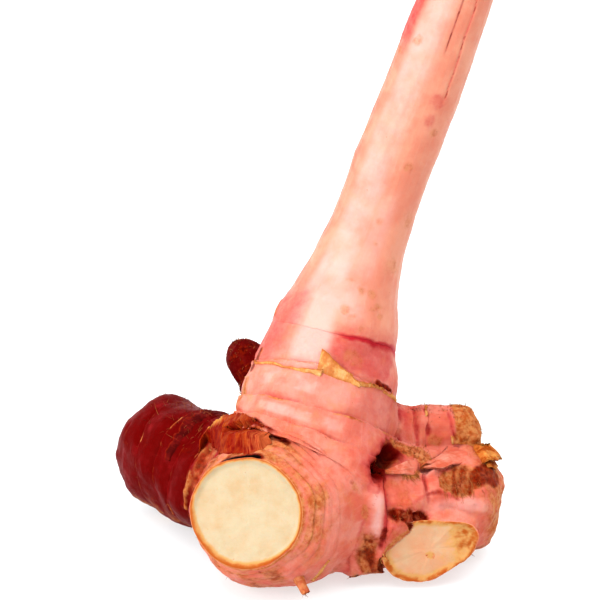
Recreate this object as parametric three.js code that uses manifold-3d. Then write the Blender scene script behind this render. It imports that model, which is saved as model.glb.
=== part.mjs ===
// A blue ginger root, also called galangal, dug up, trimmed and stood on a table.
// One rhizome carries everything: a barrel with a broad cut face at the front, a bend that turns up
// into the foot of the leafy stem, two fingers on the right, a knob at the back left, a small bud
// and a spur behind. The stem of rolled leaf sheaths is cut off short. Torn dry scale leaves cling
// to the rings.
// Millimetres, +Z up. The origin is on the table under the middle of the root, and -Y is the front.
import * as THREE from 'three';
import { mergeVertices } from 'three/addons/utils/BufferGeometryUtils.js';
import Module from 'manifold-3d';

const { clamp, lerp, smoothstep, seededRandom } = THREE.MathUtils;
const wasm = await Module();
wasm.setup();

// Driving sizes
const CUT = 17.6; // radius of the cut face at the front
const BODY = 26.6; // radius of the swollen bend under the stem
const STEM = 12; // radius of the leafy stem above its flare
const KNOB = 19; // radius of the knob at the back left
const LUMP = 17; // radius of the scarred lump at the right
const FINGER = 8; // radius of the thin finger at the right
const SHEATH_RING = 82; // length along the trunk at which the leaf sheaths begin
const PIECE_GAP = 0.3; // clearance between the rhizome and the stem
const LEAF = 0.75; // thickness of a dry scale leaf
const LEAF_LIFT = 1.35; // height of its inner side over the plain skin, which clears the rings' lips
const MIDDLE = new THREE.Vector3(-5.69, -1.88, 0); // middle of the outline in station coordinates

// Rings left by the scale leaves: a lip, and a groove just beyond it
const LIP = 0.75;
const LIP_RUN = 1.3;
const GROOVE = 0.45;
const GROOVE_RUN = 1.2;
const RING_ROWS = [-1.6, -0.1, 0.5];

const FILLET = 6; // how far a branch's foot swells to meet its neighbour
const UNEVEN = 0.8; // height of the slow waves in the skin
const WANDER = 0.9; // how far a ring strays from a true circle
const SWELL = 0.5; // how far the skin bulges between two rings

// Slow waves in directions spread evenly over a ball, for the unevenness of a grown surface
const WAVES = Array.from({ length: 7 }, (_, i) => {
  const up = 1 - (2 * i + 1) / 7;
  const turn = 2.4 * i;
  const flat = Math.sqrt(1 - up * up);
  return {
    wave: new THREE.Vector3(flat * Math.cos(turn), flat * Math.sin(turn), up)
      .multiplyScalar((2 * Math.PI) / (14 + 4 * i)),
    shift: 1.7 * i,
  };
});

function uneven(point) {
  const sum = WAVES.reduce((total, { wave, shift }) => total + Math.sin(wave.dot(point) + shift), 0);
  return (UNEVEN * sum) / Math.sqrt(WAVES.length);
}

// A branch: a centreline with a radius at each station, and what its skin does along the way.
// Each station is x, y, z, radius. Each facing is where a ring or a cut lies askew, its normal,
// and whether it is a flat cut.
class Limb {
  constructor({ stations, side, rings = [], tall = 1, roll = 0, facings = [], dome = 0, calm }) {
    const curveOf = (points) => new THREE.CatmullRomCurve3(points, false, 'catmullrom', 0.5);
    const line = curveOf(stations.map(([x, y, z]) => new THREE.Vector3(x, y, z)));
    const sizes = curveOf(stations.map(([, , , r]) => new THREE.Vector3(r, 0, 0)));
    Object.assign(this, { side, rings, tall, roll, facings, dome, calm });
    const count = 24 * (stations.length - 1);
    this.samples = [];
    let length = 0;
    for (let i = 0; i <= count; i += 1) {
      const centre = line.getPoint(i / count);
      if (i > 0) length += centre.distanceTo(this.samples[i - 1].centre);
      const radius = sizes.getPoint(i / count).x;
      this.samples.push({ centre, radius, length, tangent: line.getTangent(i / count) });
    }
    this.length = length;
  }

  // Centre, frame and radius at a length along the centreline, run on straight past either end
  at(s) {
    const inside = clamp(s, 0, this.length);
    const last = this.samples.length - 1;
    let i = 1;
    while (i < last && this.samples[i].length < inside) i += 1;
    const [a, b] = [this.samples[i - 1], this.samples[i]];
    const share = (inside - a.length) / (b.length - a.length);
    const tangent = a.tangent.clone().lerp(b.tangent, share).normalize();
    const centre = a.centre.clone().lerp(b.centre, share).addScaledVector(tangent, s - inside);
    const across = this.side.clone().addScaledVector(tangent, -this.side.dot(tangent)).normalize();
    const down = tangent.clone().cross(across);
    return { centre, tangent, across, down, radius: lerp(a.radius, b.radius, share) };
  }

  // Signed distance from a point to the plain round branch, without its rings
  distance(point) {
    return Math.min(...this.samples.map(({ centre, radius }) => centre.distanceTo(point) - radius));
  }

  // The branch narrows to a round tip over its dome
  domeShare(s) {
    const into = (s - (this.length - this.dome)) / this.dome;
    return this.dome && into > 0 ? Math.sqrt(Math.max(0, 1 - into * into)) : 1;
  }

  ringRelief(s) {
    let relief = 0;
    this.rings.forEach((ring, i) => {
      const past = s - ring;
      const over = smoothstep(past, -0.1, 0.5);
      relief += LIP * (1 - over) * Math.exp(Math.min(past, 0) / LIP_RUN);
      relief -= GROOVE * over * Math.exp(-Math.max(past, 0) / GROOVE_RUN);
      const next = this.rings[i + 1];
      if (next && past > 0 && s < next) relief += SWELL * Math.sin((Math.PI * past) / (next - ring));
    });
    return relief;
  }

  // How far a ring's point lies along the branch from where a square ring would have it.
  // Rings stray a little, cuts are flat, and between two facings the slant blends.
  slant(s, angle, rim, tangent, fade) {
    const stray = WANDER * fade * (Math.sin(angle + 0.13 * s) + 0.6 * Math.sin(2 * angle - 0.21 * s));
    const lean = ({ normal, flat }) =>
      (normal ? -rim.dot(normal) / tangent.dot(normal) : 0) + (flat ? 0 : stray);
    if (this.facings.length === 0) return stray;
    const next = this.facings.findIndex(({ at }) => at > s);
    if (next === 0) return lean(this.facings[0]);
    if (next < 0) return lean(this.facings.at(-1));
    const [a, b] = [this.facings[next - 1], this.facings[next]];
    return lerp(lean(a), lean(b), smoothstep(s, a.at, b.at));
  }

  // The skin's point at a length and an angle, raised by out; a plain skin has no rings
  skinPoint(s, angle, out = 0, plain = false) {
    const { across, down, tangent, radius } = this.at(s);
    const round = radius * this.domeShare(s);
    const [up, wide] = [this.tall * Math.cos(angle), Math.sin(angle)];
    const [c, d] = [Math.cos(this.roll), Math.sin(this.roll)];
    const spoke = new THREE.Vector3()
      .addScaledVector(across, up * c - wide * d)
      .addScaledVector(down, up * d + wide * c);
    const rim = spoke.clone().multiplyScalar(round);
    const fade = Math.min(1, round / 6);
    const base = this.at(s + this.slant(s, angle, rim, tangent, fade)).centre.add(rim);
    const rough = this.calm ? 1 - 0.85 * smoothstep(s, ...this.calm) : 1;
    const rings = plain ? 0 : this.ringRelief(s) * fade;
    const rise = rings + uneven(base) * fade * rough + this.fillet(base) + out;
    return base.addScaledVector(spoke.normalize(), rise);
  }

  // Near a neighbour the skin swells, so that the two meet in a hollow curve
  fillet(point) {
    const nearest = Math.min(FILLET, ...this.neighbours.map((limb) => Math.abs(limb.distance(point))));
    return (FILLET - nearest) ** 2 / (4 * FILLET);
  }
}

const UP = new THREE.Vector3(0, 0, 1);

// The trunk runs from the cut face through the barrel and the bend, and up the whole stem
const trunk = new Limb({
  stations: [
    [-25, -45, 31.6, CUT],
    [-20.3, -37.5, 27.4, 22.2],
    [-14.5, -28, 25.7, 25.6],
    [-9.4, -18.5, 27.8, BODY],
    [-5.6, -10, 34, BODY],
    [-3.4, -3.6, 43.3, 25],
    [-1.4, 1.2, 51, 23.8],
    [0.6, 5, 57.8, 22.9],
    [3, 9.6, 68, 21],
    [6, 13.3, 80, 18],
    [10.2, 16.3, 92, 14.7],
    [14.6, 18.6, 103, 12.5],
    [20.2, 21, 119, STEM],
    [25.9, 22.8, 136, STEM + 0.5],
    [32.8, 24.3, 153, STEM],
    [38.9, 25.6, 170.5, STEM - 0.5],
    [43.2, 26.3, 182.5, STEM - 1],
  ],
  side: new THREE.Vector3(0.88, -0.47, 0),
  rings: [3.5, 8, 12.5, 17, 22.5, 28, 34, 41, 48.5, 56.5, 69],
  facings: [
    { at: 0, normal: new THREE.Vector3(-0.253, -0.883, 0.396), flat: true },
    { at: 18 },
    { at: 30 },
    { at: 46, normal: new THREE.Vector3(0.4, 0.54, 0.74) },
    { at: 58, normal: new THREE.Vector3(0.3, 0.54, 0.79) },
    { at: SHEATH_RING, normal: new THREE.Vector3(0.2, 0.48, 0.85) },
    { at: 108 },
  ],
  calm: [SHEATH_RING, SHEATH_RING + 25],
});

// The lump at the right, from inside the bend to its blunt end
const lump = new Limb({
  stations: [
    [2, -16, 20.5, 21],
    [16, -14.5, 19.8, 19.3],
    [33, -8.5, 18.4, LUMP],
    [46, -5.5, 18.6, LUMP],
    [57.5, -3, 19.3, LUMP - 1.5],
  ],
  side: UP,
  rings: [13.5, 24.5, 33.5],
  dome: 12,
});

// The finger that was cut off at the lower right, with an oval scar
const scarred = new Limb({
  stations: [
    [30, -8, 15.5, 12.5],
    [33, -20, 13.8, 14.4],
    [34, -32.5, 12.8, 15.4],
  ],
  side: UP,
  tall: 0.54,
  roll: 0.25,
  facings: [{ at: 12 }, { at: 22, normal: new THREE.Vector3(0.05, -0.95, 0.3), flat: true }],
});

// The thin finger at the upper right, broken off square
const finger = new Limb({
  stations: [
    [8, 2, 36, FINGER + 4],
    [22, 3, 37.8, FINGER + 1.4],
    [35, 4.5, 37.8, FINGER],
    [51, 5, 37.2, FINGER - 1.4],
  ],
  side: UP,
  rings: [20.5, 25, 34],
  dome: 4,
});

// The knob at the back left
const knob = new Limb({
  stations: [
    [-14, -14, 25, KNOB - 1],
    [-26, -1.5, 21, KNOB + 0.2],
    [-39, 12, 19.5, KNOB + 0.2],
    [-52, 26, 18.6, KNOB - 0.6],
    [-63, 38, 17.5, KNOB - 4],
  ],
  side: UP,
  rings: [24, 33, 42, 52, 61],
  dome: 13,
});

// The small bud that leans out behind the stem
const bud = new Limb({
  stations: [
    [-10, 10, 44, 9],
    [-19, 16, 50, 8.5],
    [-25, 20, 56, 7.5],
    [-29, 22, 62, 6],
  ],
  side: new THREE.Vector3(0, -1, 0),
  rings: [10, 15],
  dome: 6,
});

// The spur behind, on which the root leans back
const spur = new Limb({
  stations: [
    [-4, 2, 28, 20],
    [2, 20, 19.5, 18.2],
    [5, 34, 15.3, 15.7],
    [6, 46, 13.2, 13.6],
  ],
  side: UP,
  rings: [20, 27, 35],
  facings: [{ at: 34 }, { at: 47, normal: new THREE.Vector3(0.1, 0.97, 0.2), flat: true }],
});

const limbs = [trunk, lump, scarred, finger, knob, bud, spur];
limbs.forEach((limb) => {
  limb.neighbours = limbs.filter((other) => other !== limb);
});

// Lengths along a limb at which its skin has a row of points: each ring's foot, lip and groove,
// closer rows on a dome, and plain rows wherever a gap is left
function rowLengths(limb, from, to, step) {
  const marks = [from, to, ...limb.rings.flatMap((ring) => RING_ROWS.map((row) => ring + row))];
  for (let i = 1; i < 5; i += 1) {
    if (limb.dome) marks.push(limb.length - limb.dome * (1 - Math.sin((i * Math.PI) / 10.4)));
  }
  const kept = [];
  for (const mark of marks.filter((s) => s >= from && s <= to).sort((a, b) => a - b)) {
    const before = kept.at(-1);
    if (before !== undefined && mark - before < 0.45) continue;
    const fill = before === undefined ? 1 : Math.ceil((mark - before) / step);
    for (let i = 1; i < fill; i += 1) kept.push(lerp(before, mark, i / fill));
    kept.push(mark);
  }
  return kept;
}

// A closed skin over rows of points, each row going once round and its end rows closed by fans
function loft(rows) {
  const sides = rows[0].length;
  const middle = (row) => row.reduce((sum, p) => sum.add(p), new THREE.Vector3()).divideScalar(sides);
  const points = [...rows.flat(), middle(rows[0]), middle(rows.at(-1))];
  const [first, last] = [points.length - 2, points.length - 1];
  const triangles = [];
  for (let j = 0; j < sides; j += 1) {
    const k = (j + 1) % sides;
    for (let i = 0; i + 1 < rows.length; i += 1) {
      const [a, b] = [i * sides, (i + 1) * sides];
      triangles.push(a + j, a + k, b + k, a + j, b + k, b + j);
    }
    const top = (rows.length - 1) * sides;
    triangles.push(first, k, j, last, top + j, top + k);
  }
  const geometry = new THREE.BufferGeometry().setFromPoints(points);
  return geometry.setIndex(triangles);
}

function limbSkin(limb, sides, step, from = 0, to = limb.length - (limb.dome ? 0.15 : 0)) {
  const rows = rowLengths(limb, from, to, step).map((s) =>
    Array.from({ length: sides }, (_, j) => limb.skinPoint(s, (2 * Math.PI * j) / sides)),
  );
  return loft(rows);
}

// Between three.js geometry and a solid that can be joined and cut
function solidOf(geometry) {
  const bare = geometry.clone();
  bare.deleteAttribute('normal');
  bare.deleteAttribute('uv');
  const merged = mergeVertices(bare, 1e-4);
  return new wasm.Manifold(
    new wasm.Mesh({
      numProp: 3,
      vertProperties: new Float32Array(merged.attributes.position.array),
      triVerts: new Uint32Array(merged.index.array),
    }),
  );
}

function geometryOf(solid) {
  const { vertProperties, triVerts } = solid.getMesh();
  const geometry = new THREE.BufferGeometry();
  geometry.setAttribute('position', new THREE.BufferAttribute(vertProperties, 3));
  geometry.setIndex(new THREE.BufferAttribute(triVerts, 1));
  return geometry;
}

// The table's top, which flattens the low spots that the root stands on
function belowTable() {
  const depth = 40;
  return solidOf(new THREE.BoxGeometry(400, 400, depth).translate(0, 0, -depth / 2));
}

// Stubs of thin roots that were pulled off: the limb, length, angle in degrees, and the stub's size
const STUBS = [
  [trunk, 12, 50, 5, 1.9],
  [trunk, 20, 128, 4, 1.5],
  [trunk, 27, 42, 3, 1.2],
  [trunk, 44, 150, 4.5, 1.6],
  [lump, 21, 122, 3.5, 1.4],
  [lump, 40, 124, 3, 1.2],
  [lump, 30, 255, 5, 1.6],
  [knob, 20, 238, 4, 1.5],
  [knob, 46, 138, 5, 1.7],
  [knob, 47, 242, 3.5, 1.3],
  [knob, 56, 130, 4, 1.4],
  [spur, 31, 118, 4, 1.4],
];

// A tapered stub from below the skin outwards
function stubSkin([limb, s, degrees, length, radius]) {
  const angle = THREE.MathUtils.degToRad(degrees);
  const foot = limb.skinPoint(s, angle, -3);
  const tip = limb.skinPoint(s, angle, length);
  const span = tip.clone().sub(foot);
  const shape = new THREE.CylinderGeometry(0.65 * radius, radius, span.length(), 8);
  const turn = new THREE.Quaternion().setFromUnitVectors(new THREE.Vector3(0, 1, 0), span.normalize());
  const centre = foot.add(tip).multiplyScalar(0.5);
  return shape.applyQuaternion(turn).translate(centre.x, centre.y, centre.z);
}

// The rhizome: every limb up to the sheath ring, joined and set on the table
function rhizomeGeometry() {
  const skins = [
    limbSkin(trunk, 42, 5, 0, SHEATH_RING - PIECE_GAP),
    limbSkin(lump, 32, 4.5),
    limbSkin(scarred, 30, 4.5),
    limbSkin(finger, 22, 4.5),
    limbSkin(knob, 30, 5),
    limbSkin(bud, 16, 4.5),
    limbSkin(spur, 28, 5),
    ...STUBS.map(stubSkin),
  ];
  const joined = skins.map(solidOf).reduce((sum, skin) => sum.add(skin));
  return geometryOf(joined.subtract(belowTable()));
}

// The cut top of the stem: how far in from its skin, and how deep, the edges of the sheaths show
const SHEATH_STEPS = [
  [0.9, 0],
  [1.2, 0.8],
  [1.6, 0.8],
  [1.9, 0],
  [3.4, 0],
  [3.7, 0.8],
  [4.2, 0.8],
  [4.5, 0],
];

// The stem: rolled leaf sheaths, whose edges show as rings on the cut top
function stemGeometry() {
  const sides = 40;
  const ring = (s, inset, depth) => {
    const { centre, tangent } = trunk.at(s);
    return Array.from({ length: sides }, (_, j) => {
      const point = trunk.skinPoint(s, (2 * Math.PI * j) / sides);
      const inwards = centre.clone().sub(point).setLength(inset);
      return point.add(inwards).addScaledVector(tangent, -depth);
    });
  };
  const rows = rowLengths(trunk, SHEATH_RING, trunk.length, 6).map((s) => ring(s, 0, 0));
  SHEATH_STEPS.forEach(([inset, depth]) => rows.push(ring(trunk.length, inset, depth)));
  return loft(rows);
}

// A torn dry leaf lying on a limb. Its two ragged edges are given as lengths along the limb at
// evenly spaced angles, and its far edge may curl up off the skin.
function leafGeometry(limb, { degrees, near, far, curl = 0, seed }) {
  seededRandom(seed);
  const count = 6 * (near.length - 1);
  const edge = (lengths, i, rag) => {
    const along = (i / count) * (lengths.length - 1);
    const k = Math.min(Math.floor(along), lengths.length - 2);
    return lerp(lengths[k], lengths[k + 1], along - k) + rag * (seededRandom() - 0.5);
  };
  const across = [0, 0.4, 0.75, 1];
  const columns = Array.from({ length: count + 1 }, (_, i) => {
    const angle = THREE.MathUtils.degToRad(lerp(degrees[0], degrees[1], i / count));
    const [from, to] = [edge(near, i, 0.5), edge(far, i, 1.6)];
    const layer = (lift) =>
      across.map((v) => limb.skinPoint(lerp(from, to, v), angle, LEAF_LIFT + lift + curl * v * v, true));
    return [...layer(0), ...layer(LEAF).reverse()];
  });
  return loft(columns);
}

const root = new THREE.Group();
root.position.copy(MIDDLE).negate();

function addPiece(name, geometry, look) {
  const mesh = new THREE.Mesh(geometry, new THREE.MeshStandardMaterial(look));
  mesh.name = name;
  root.add(mesh);
}

addPiece('rhizome', rhizomeGeometry(), { color: '#e2806c', roughness: 0.45 });
addPiece('stem', stemGeometry(), { color: '#f0a183', roughness: 0.38 });

// Dry scale leaves: over the cut face, round the ring under the stem, in the fork,
// at the lump's tip and on the knob
const LEAVES = {
  front_scale: {
    limb: trunk,
    degrees: [212, 283],
    near: [7, 4, 2.5, 3, 9],
    far: [26, 42, 45, 30, 15],
    seed: 11,
  },
  ring_scale: {
    limb: trunk,
    degrees: [228, 372],
    near: [67.4, 66.8, 66.6, 66.8, 67.2, 67.6, 68],
    far: [70, 69.8, 70.2, 74.5, 70.8, 70.4, 72.6],
    seed: 23,
  },
  fork_scale: {
    limb: lump,
    degrees: [8, 40],
    near: [22, 18.5, 15, 21],
    far: [26.5, 27.5, 27, 25],
    curl: 1.2,
    seed: 5,
  },
  tip_scale: {
    limb: lump,
    degrees: [2, 44],
    near: [49, 47.5, 47.5, 49],
    far: [51, 53.2, 53, 50.6],
    curl: 2.5,
    seed: 31,
  },
  knob_scale: {
    limb: knob,
    degrees: [-62, 104],
    near: [35, 34.5, 34, 34.2, 34.8, 35.4],
    far: [37.5, 39.5, 41, 40, 40.5, 37.8],
    curl: 0.8,
    seed: 43,
  },
};

for (const [name, leaf] of Object.entries(LEAVES)) {
  addPiece(name, leafGeometry(leaf.limb, leaf), { color: '#b5793a', roughness: 0.8 });
}

export default root;
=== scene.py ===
"""A blue ginger root on a white table: ringed pink skin, cut faces, torn dry leaves and fibres.

The limbs follow the centrelines and rings of the solids, with finer relief on top.
Lengths are millimetres in station coordinates until a mesh is made. A mesh is in metres in the
row frame, which lies MIDDLE away.
"""

import math

import bpy
import numpy as np
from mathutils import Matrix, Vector
from mathutils.bvhtree import BVHTree


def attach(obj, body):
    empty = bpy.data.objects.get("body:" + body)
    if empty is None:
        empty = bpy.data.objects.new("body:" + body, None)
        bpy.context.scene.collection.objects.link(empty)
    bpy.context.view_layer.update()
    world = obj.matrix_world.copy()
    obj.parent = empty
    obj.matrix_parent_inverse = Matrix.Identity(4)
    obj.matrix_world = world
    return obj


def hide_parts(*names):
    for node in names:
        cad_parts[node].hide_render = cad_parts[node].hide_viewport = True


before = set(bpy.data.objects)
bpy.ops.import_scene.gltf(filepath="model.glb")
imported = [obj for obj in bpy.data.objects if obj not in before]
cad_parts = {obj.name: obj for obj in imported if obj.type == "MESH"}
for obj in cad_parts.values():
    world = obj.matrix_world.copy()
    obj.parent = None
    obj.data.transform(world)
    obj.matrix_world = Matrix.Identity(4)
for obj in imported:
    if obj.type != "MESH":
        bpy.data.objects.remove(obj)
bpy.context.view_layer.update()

MIDDLE = np.array([-5.69, -1.88, 0.0])  # the row frame's origin in station coordinates
SHEATH_RING = 82.0  # length along the trunk of the ring below the leaf sheaths
SEAM = 83.6  # length along the trunk at which the stem's skin begins
COARSE = 1.0  # wider mesh spacing while trying things
LEAF_STEP = 0.35 * COARSE  # between the points across a leaf

# Relief shared with the solids
LIP = 0.75
LIP_RUN = 1.3
GROOVE = 0.45
GROOVE_RUN = 1.2
FILLET = 6.0
UNEVEN = 0.8
WANDER = 0.9
SWELL = 0.8
RING_ROWS = (-1.7, -0.9, -0.4, -0.1, 0.1, 0.3, 0.75, 1.4)
LEAST_GAP = 0.12  # between two rows of points
DOME_TURN = 1.54  # radians from a dome's foot to its last row


# Numbers that vary smoothly from place to place


def smooth(value, low, high):
    share = np.clip((value - low) / (high - low), 0, 1)
    return share * share * (3 - 2 * share)


# Large odd numbers that stir the bits of a cell's place and seed
STIRS = (73856093, 19349663, 83492791, 668265263, 1274126177)


def cell_value(cells, seed):
    """A repeatable number from 0 to 1 for each cell of a grid."""
    mix = (cells[..., 0] * STIRS[0]) ^ (cells[..., 1] * STIRS[1])
    mix = mix ^ (cells[..., 2] * STIRS[2]) ^ (seed * STIRS[3])
    mix = ((mix ^ (mix >> 13)) * STIRS[4]) & 0x7FFFFFFF
    mix = mix ^ (mix >> 16)
    return (mix & 0xFFFF) / 65535.0


CORNERS = [np.array([i & 1, i >> 1 & 1, i >> 2]) for i in range(8)]
TURN = np.array([[0.36, 0.48, -0.8], [-0.8, 0.6, 0.0], [0.48, 0.64, 0.6]])


def noise(points, size, seed=0):
    """Smooth noise from -1 to 1 whose bumps are about size across."""
    place = points @ TURN / size + 0.371 * seed
    low = np.floor(place).astype(np.int64)
    share = place - low
    share = share**3 * (share * (share * 6 - 15) + 10)
    total = 0.0
    for corner in CORNERS:
        weight = np.prod(np.where(corner, share, 1 - share), axis=-1)
        total = total + weight * cell_value(low + corner, seed)
    return 2 * total - 1


def fractal(points, size, seed=0, layers=3):
    """Noise with finer and weaker noise on top of it."""
    total = 0.0
    for layer in range(layers):
        total = total + noise(points, size / 2.1**layer, seed + 7 * layer) / 1.8**layer
    return total / 1.6


# Slow waves in directions spread evenly over a ball, the same as in the solids
WAVES = []
for wave in range(7):
    rise = 1 - (2 * wave + 1) / 7
    flat = math.sqrt(1 - rise * rise)
    direction = np.array([flat * math.cos(2.4 * wave), flat * math.sin(2.4 * wave), rise])
    WAVES.append((direction * 2 * math.pi / (14 + 4 * wave), 1.7 * wave))


def uneven(points):
    total = sum(np.sin(points @ wave + shift) for wave, shift in WAVES)
    return UNEVEN * total / math.sqrt(len(WAVES))


# Limbs


def spline(stations, per_span=24):
    """Points and tangents of a smooth line through the stations."""
    knots = np.array(stations, float)
    knots = np.vstack([2 * knots[0] - knots[1], knots, 2 * knots[-1] - knots[-2]])
    places, slopes = [], []
    spans = len(stations) - 1
    for i in range(spans * per_span + 1):
        span = min(i // per_span, spans - 1)
        t = i / per_span - span
        before, start, end, after = knots[span : span + 4]
        leave, arrive = 0.5 * (end - before), 0.5 * (after - start)
        square = -3 * start + 3 * end - 2 * leave - arrive
        cube = 2 * start - 2 * end + leave + arrive
        places.append(start + leave * t + square * t * t + cube * t**3)
        slopes.append(leave + 2 * square * t + 3 * cube * t * t)
    return np.array(places), np.array(slopes)


def unit(vectors):
    return vectors / np.linalg.norm(vectors, axis=-1, keepdims=True)


class Limb:
    """A branch: a centreline with a radius at each station, and what its skin does along the way.

    Each facing is a length, the normal of a ring or cut that lies askew there, and whether it is
    a flat cut. Calm holds the lengths over which the skin turns smooth, and heights how high each
    ring stands.
    """

    def __init__(
        self, stations, side, rings=(), tall=1.0, roll=0.0, facings=(), dome=0.0, calm=None,
        heights=None
    ):
        places, slopes = spline(stations)
        self.centre, self.radius = places[:, :3], places[:, 3]
        self.tangent = unit(slopes[:, :3])
        steps = np.linalg.norm(np.diff(self.centre, axis=0), axis=1)
        self.lengths = np.concatenate([[0], np.cumsum(steps)])
        self.length = self.lengths[-1]
        self.side = np.array(side, float)
        self.rings, self.tall, self.roll = rings, tall, roll
        self.facings, self.dome, self.calm = facings, dome, calm
        self.heights = heights or [1.0] * len(rings)
        self.neighbours = []

    def at(self, s):
        """Centre, tangent, the two directions across, and radius at a length."""
        inside = np.clip(s, 0, self.length)

        def sampled(table):
            columns = [np.interp(inside, self.lengths, table[:, i]) for i in range(3)]
            return np.stack(columns, -1)

        tangent = unit(sampled(self.tangent))
        centre = sampled(self.centre) + tangent * (s - inside)[..., None]
        across = unit(self.side - tangent * (tangent @ self.side)[..., None])
        radius = np.interp(inside, self.lengths, self.radius)
        return centre, tangent, across, np.cross(tangent, across), radius

    def distance(self, points):
        nearest = np.full(points.shape[:-1], 1e9)
        for centre, radius in zip(self.centre[::2], self.radius[::2]):
            apart = np.linalg.norm(points - centre, axis=-1) - radius
            nearest = np.minimum(nearest, apart)
        return nearest

    def dome_share(self, s):
        if not self.dome:
            return np.ones_like(s)
        into = np.clip((s - (self.length - self.dome)) / self.dome, 0, 1)
        return np.sqrt(1 - into * into)

    def relief(self, s):
        """Height of the rings, and how near each point is to a lip and to a groove."""
        height, lip, groove = np.zeros_like(s), np.zeros_like(s), np.zeros_like(s)
        for i, ring in enumerate(self.rings):
            past, tall = s - ring, self.heights[i]
            over = smooth(past, -0.1, 0.3)
            height += tall * LIP * (1 - over) * np.exp(np.minimum(past, 0) / LIP_RUN)
            height -= tall * GROOVE * over * np.exp(-np.maximum(past, 0) / GROOVE_RUN)
            lip = np.maximum(lip, tall * np.exp(-(((past + 0.15) / 0.4) ** 2)))
            groove = np.maximum(groove, tall * over * np.exp(-np.maximum(past, 0) / 0.8))
            if i + 1 < len(self.rings):
                reach = self.rings[i + 1] - ring
                between = (past > 0) & (past < reach)
                swell = (0.3 + 0.7 * tall) * SWELL * np.sin(np.pi * past / reach)
                height += np.where(between, swell, 0)
        return height, lip, groove

    def slant(self, s, angle, rim, tangent, fade):
        """How far along the branch a ring's point lies from where a square ring has it."""
        stray = np.sin(angle + 0.13 * s) + 0.6 * np.sin(2 * angle - 0.21 * s)
        stray = WANDER * fade * stray
        if not self.facings:
            return stray

        def lean(facing):
            _, normal, flat = facing
            if normal is None:
                return stray
            tilt = -(rim @ np.array(normal)) / (tangent @ np.array(normal))
            return tilt if flat else tilt + stray

        leans = [lean(facing) for facing in self.facings]
        result = leans[0]
        for i in range(1, len(leans)):
            share = smooth(s, self.facings[i - 1][0], self.facings[i][0])
            result = result + share * (leans[i] - result)
        return result

    def cut_distance(self, s):
        """How far along the branch the nearest flat cut is."""
        cuts = [at for at, _, flat in self.facings if flat]
        far = np.full_like(s, 1e3)
        for at in cuts:
            far = np.minimum(far, np.abs(s - min(at, self.length)))
        return far

    def skin(self, s, angle, out=0.0, plain=False):
        """The skin's points at lengths and angles, and what is known about each of them."""
        s, angle = np.broadcast_arrays(np.asarray(s, float), np.asarray(angle, float))
        _, tangent, across, down, radius = self.at(s)
        reach = radius * self.dome_share(s)
        up, wide = self.tall * np.cos(angle), np.sin(angle)
        c, d = math.cos(self.roll), math.sin(self.roll)
        spoke = across * (up * c - wide * d)[..., None] + down * (up * d + wide * c)[..., None]
        rim = spoke * reach[..., None]
        fade = np.minimum(1, reach / 6)
        shift = self.slant(s, angle, rim, tangent, fade)
        first = self.at(s + shift)[0] + rim
        loose = fade * smooth(self.cut_distance(s), 0, 3)
        rough = 0.35 + 0.65 * loose
        if self.calm:
            rough = rough * (1 - 0.85 * smooth(s, *self.calm))
        if not plain:
            ragged = 0.45 * noise(first, 7, 3) + 0.22 * noise(first, 2, 4)
            shift = shift + ragged * loose * rough
        base = self.at(s + shift)[0] + rim
        height, lip, groove = self.relief(s)
        strength = np.clip(0.85 + 0.6 * noise(base, 9, 5), 0.2, 1.45)
        if plain:
            height = np.zeros_like(height)
        meet = np.full(s.shape, FILLET)
        for other in self.neighbours:
            meet = np.minimum(meet, np.abs(other.distance(base)))
        folds = np.stack([4 * np.cos(angle), 4 * np.sin(angle), s / 1.5], -1)
        creases = noise(folds, 1, 6) * (0.07 + 0.1 * np.maximum(lip, groove))
        swell = (height * strength + creases * (not plain)) * fade + uneven(base) * fade * rough
        swell = swell + (FILLET - meet) ** 2 / (4 * FILLET) + out
        facts = {
            "s": s,
            "angle_cos": np.cos(angle),
            "angle_sin": np.sin(angle),
            "lip": lip * strength * fade,
            "groove": groove * strength * fade,
            "meet": 1 - meet / FILLET,
            "cut": np.zeros_like(s),
        }
        return base + unit(spoke) * swell[..., None], facts


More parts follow.
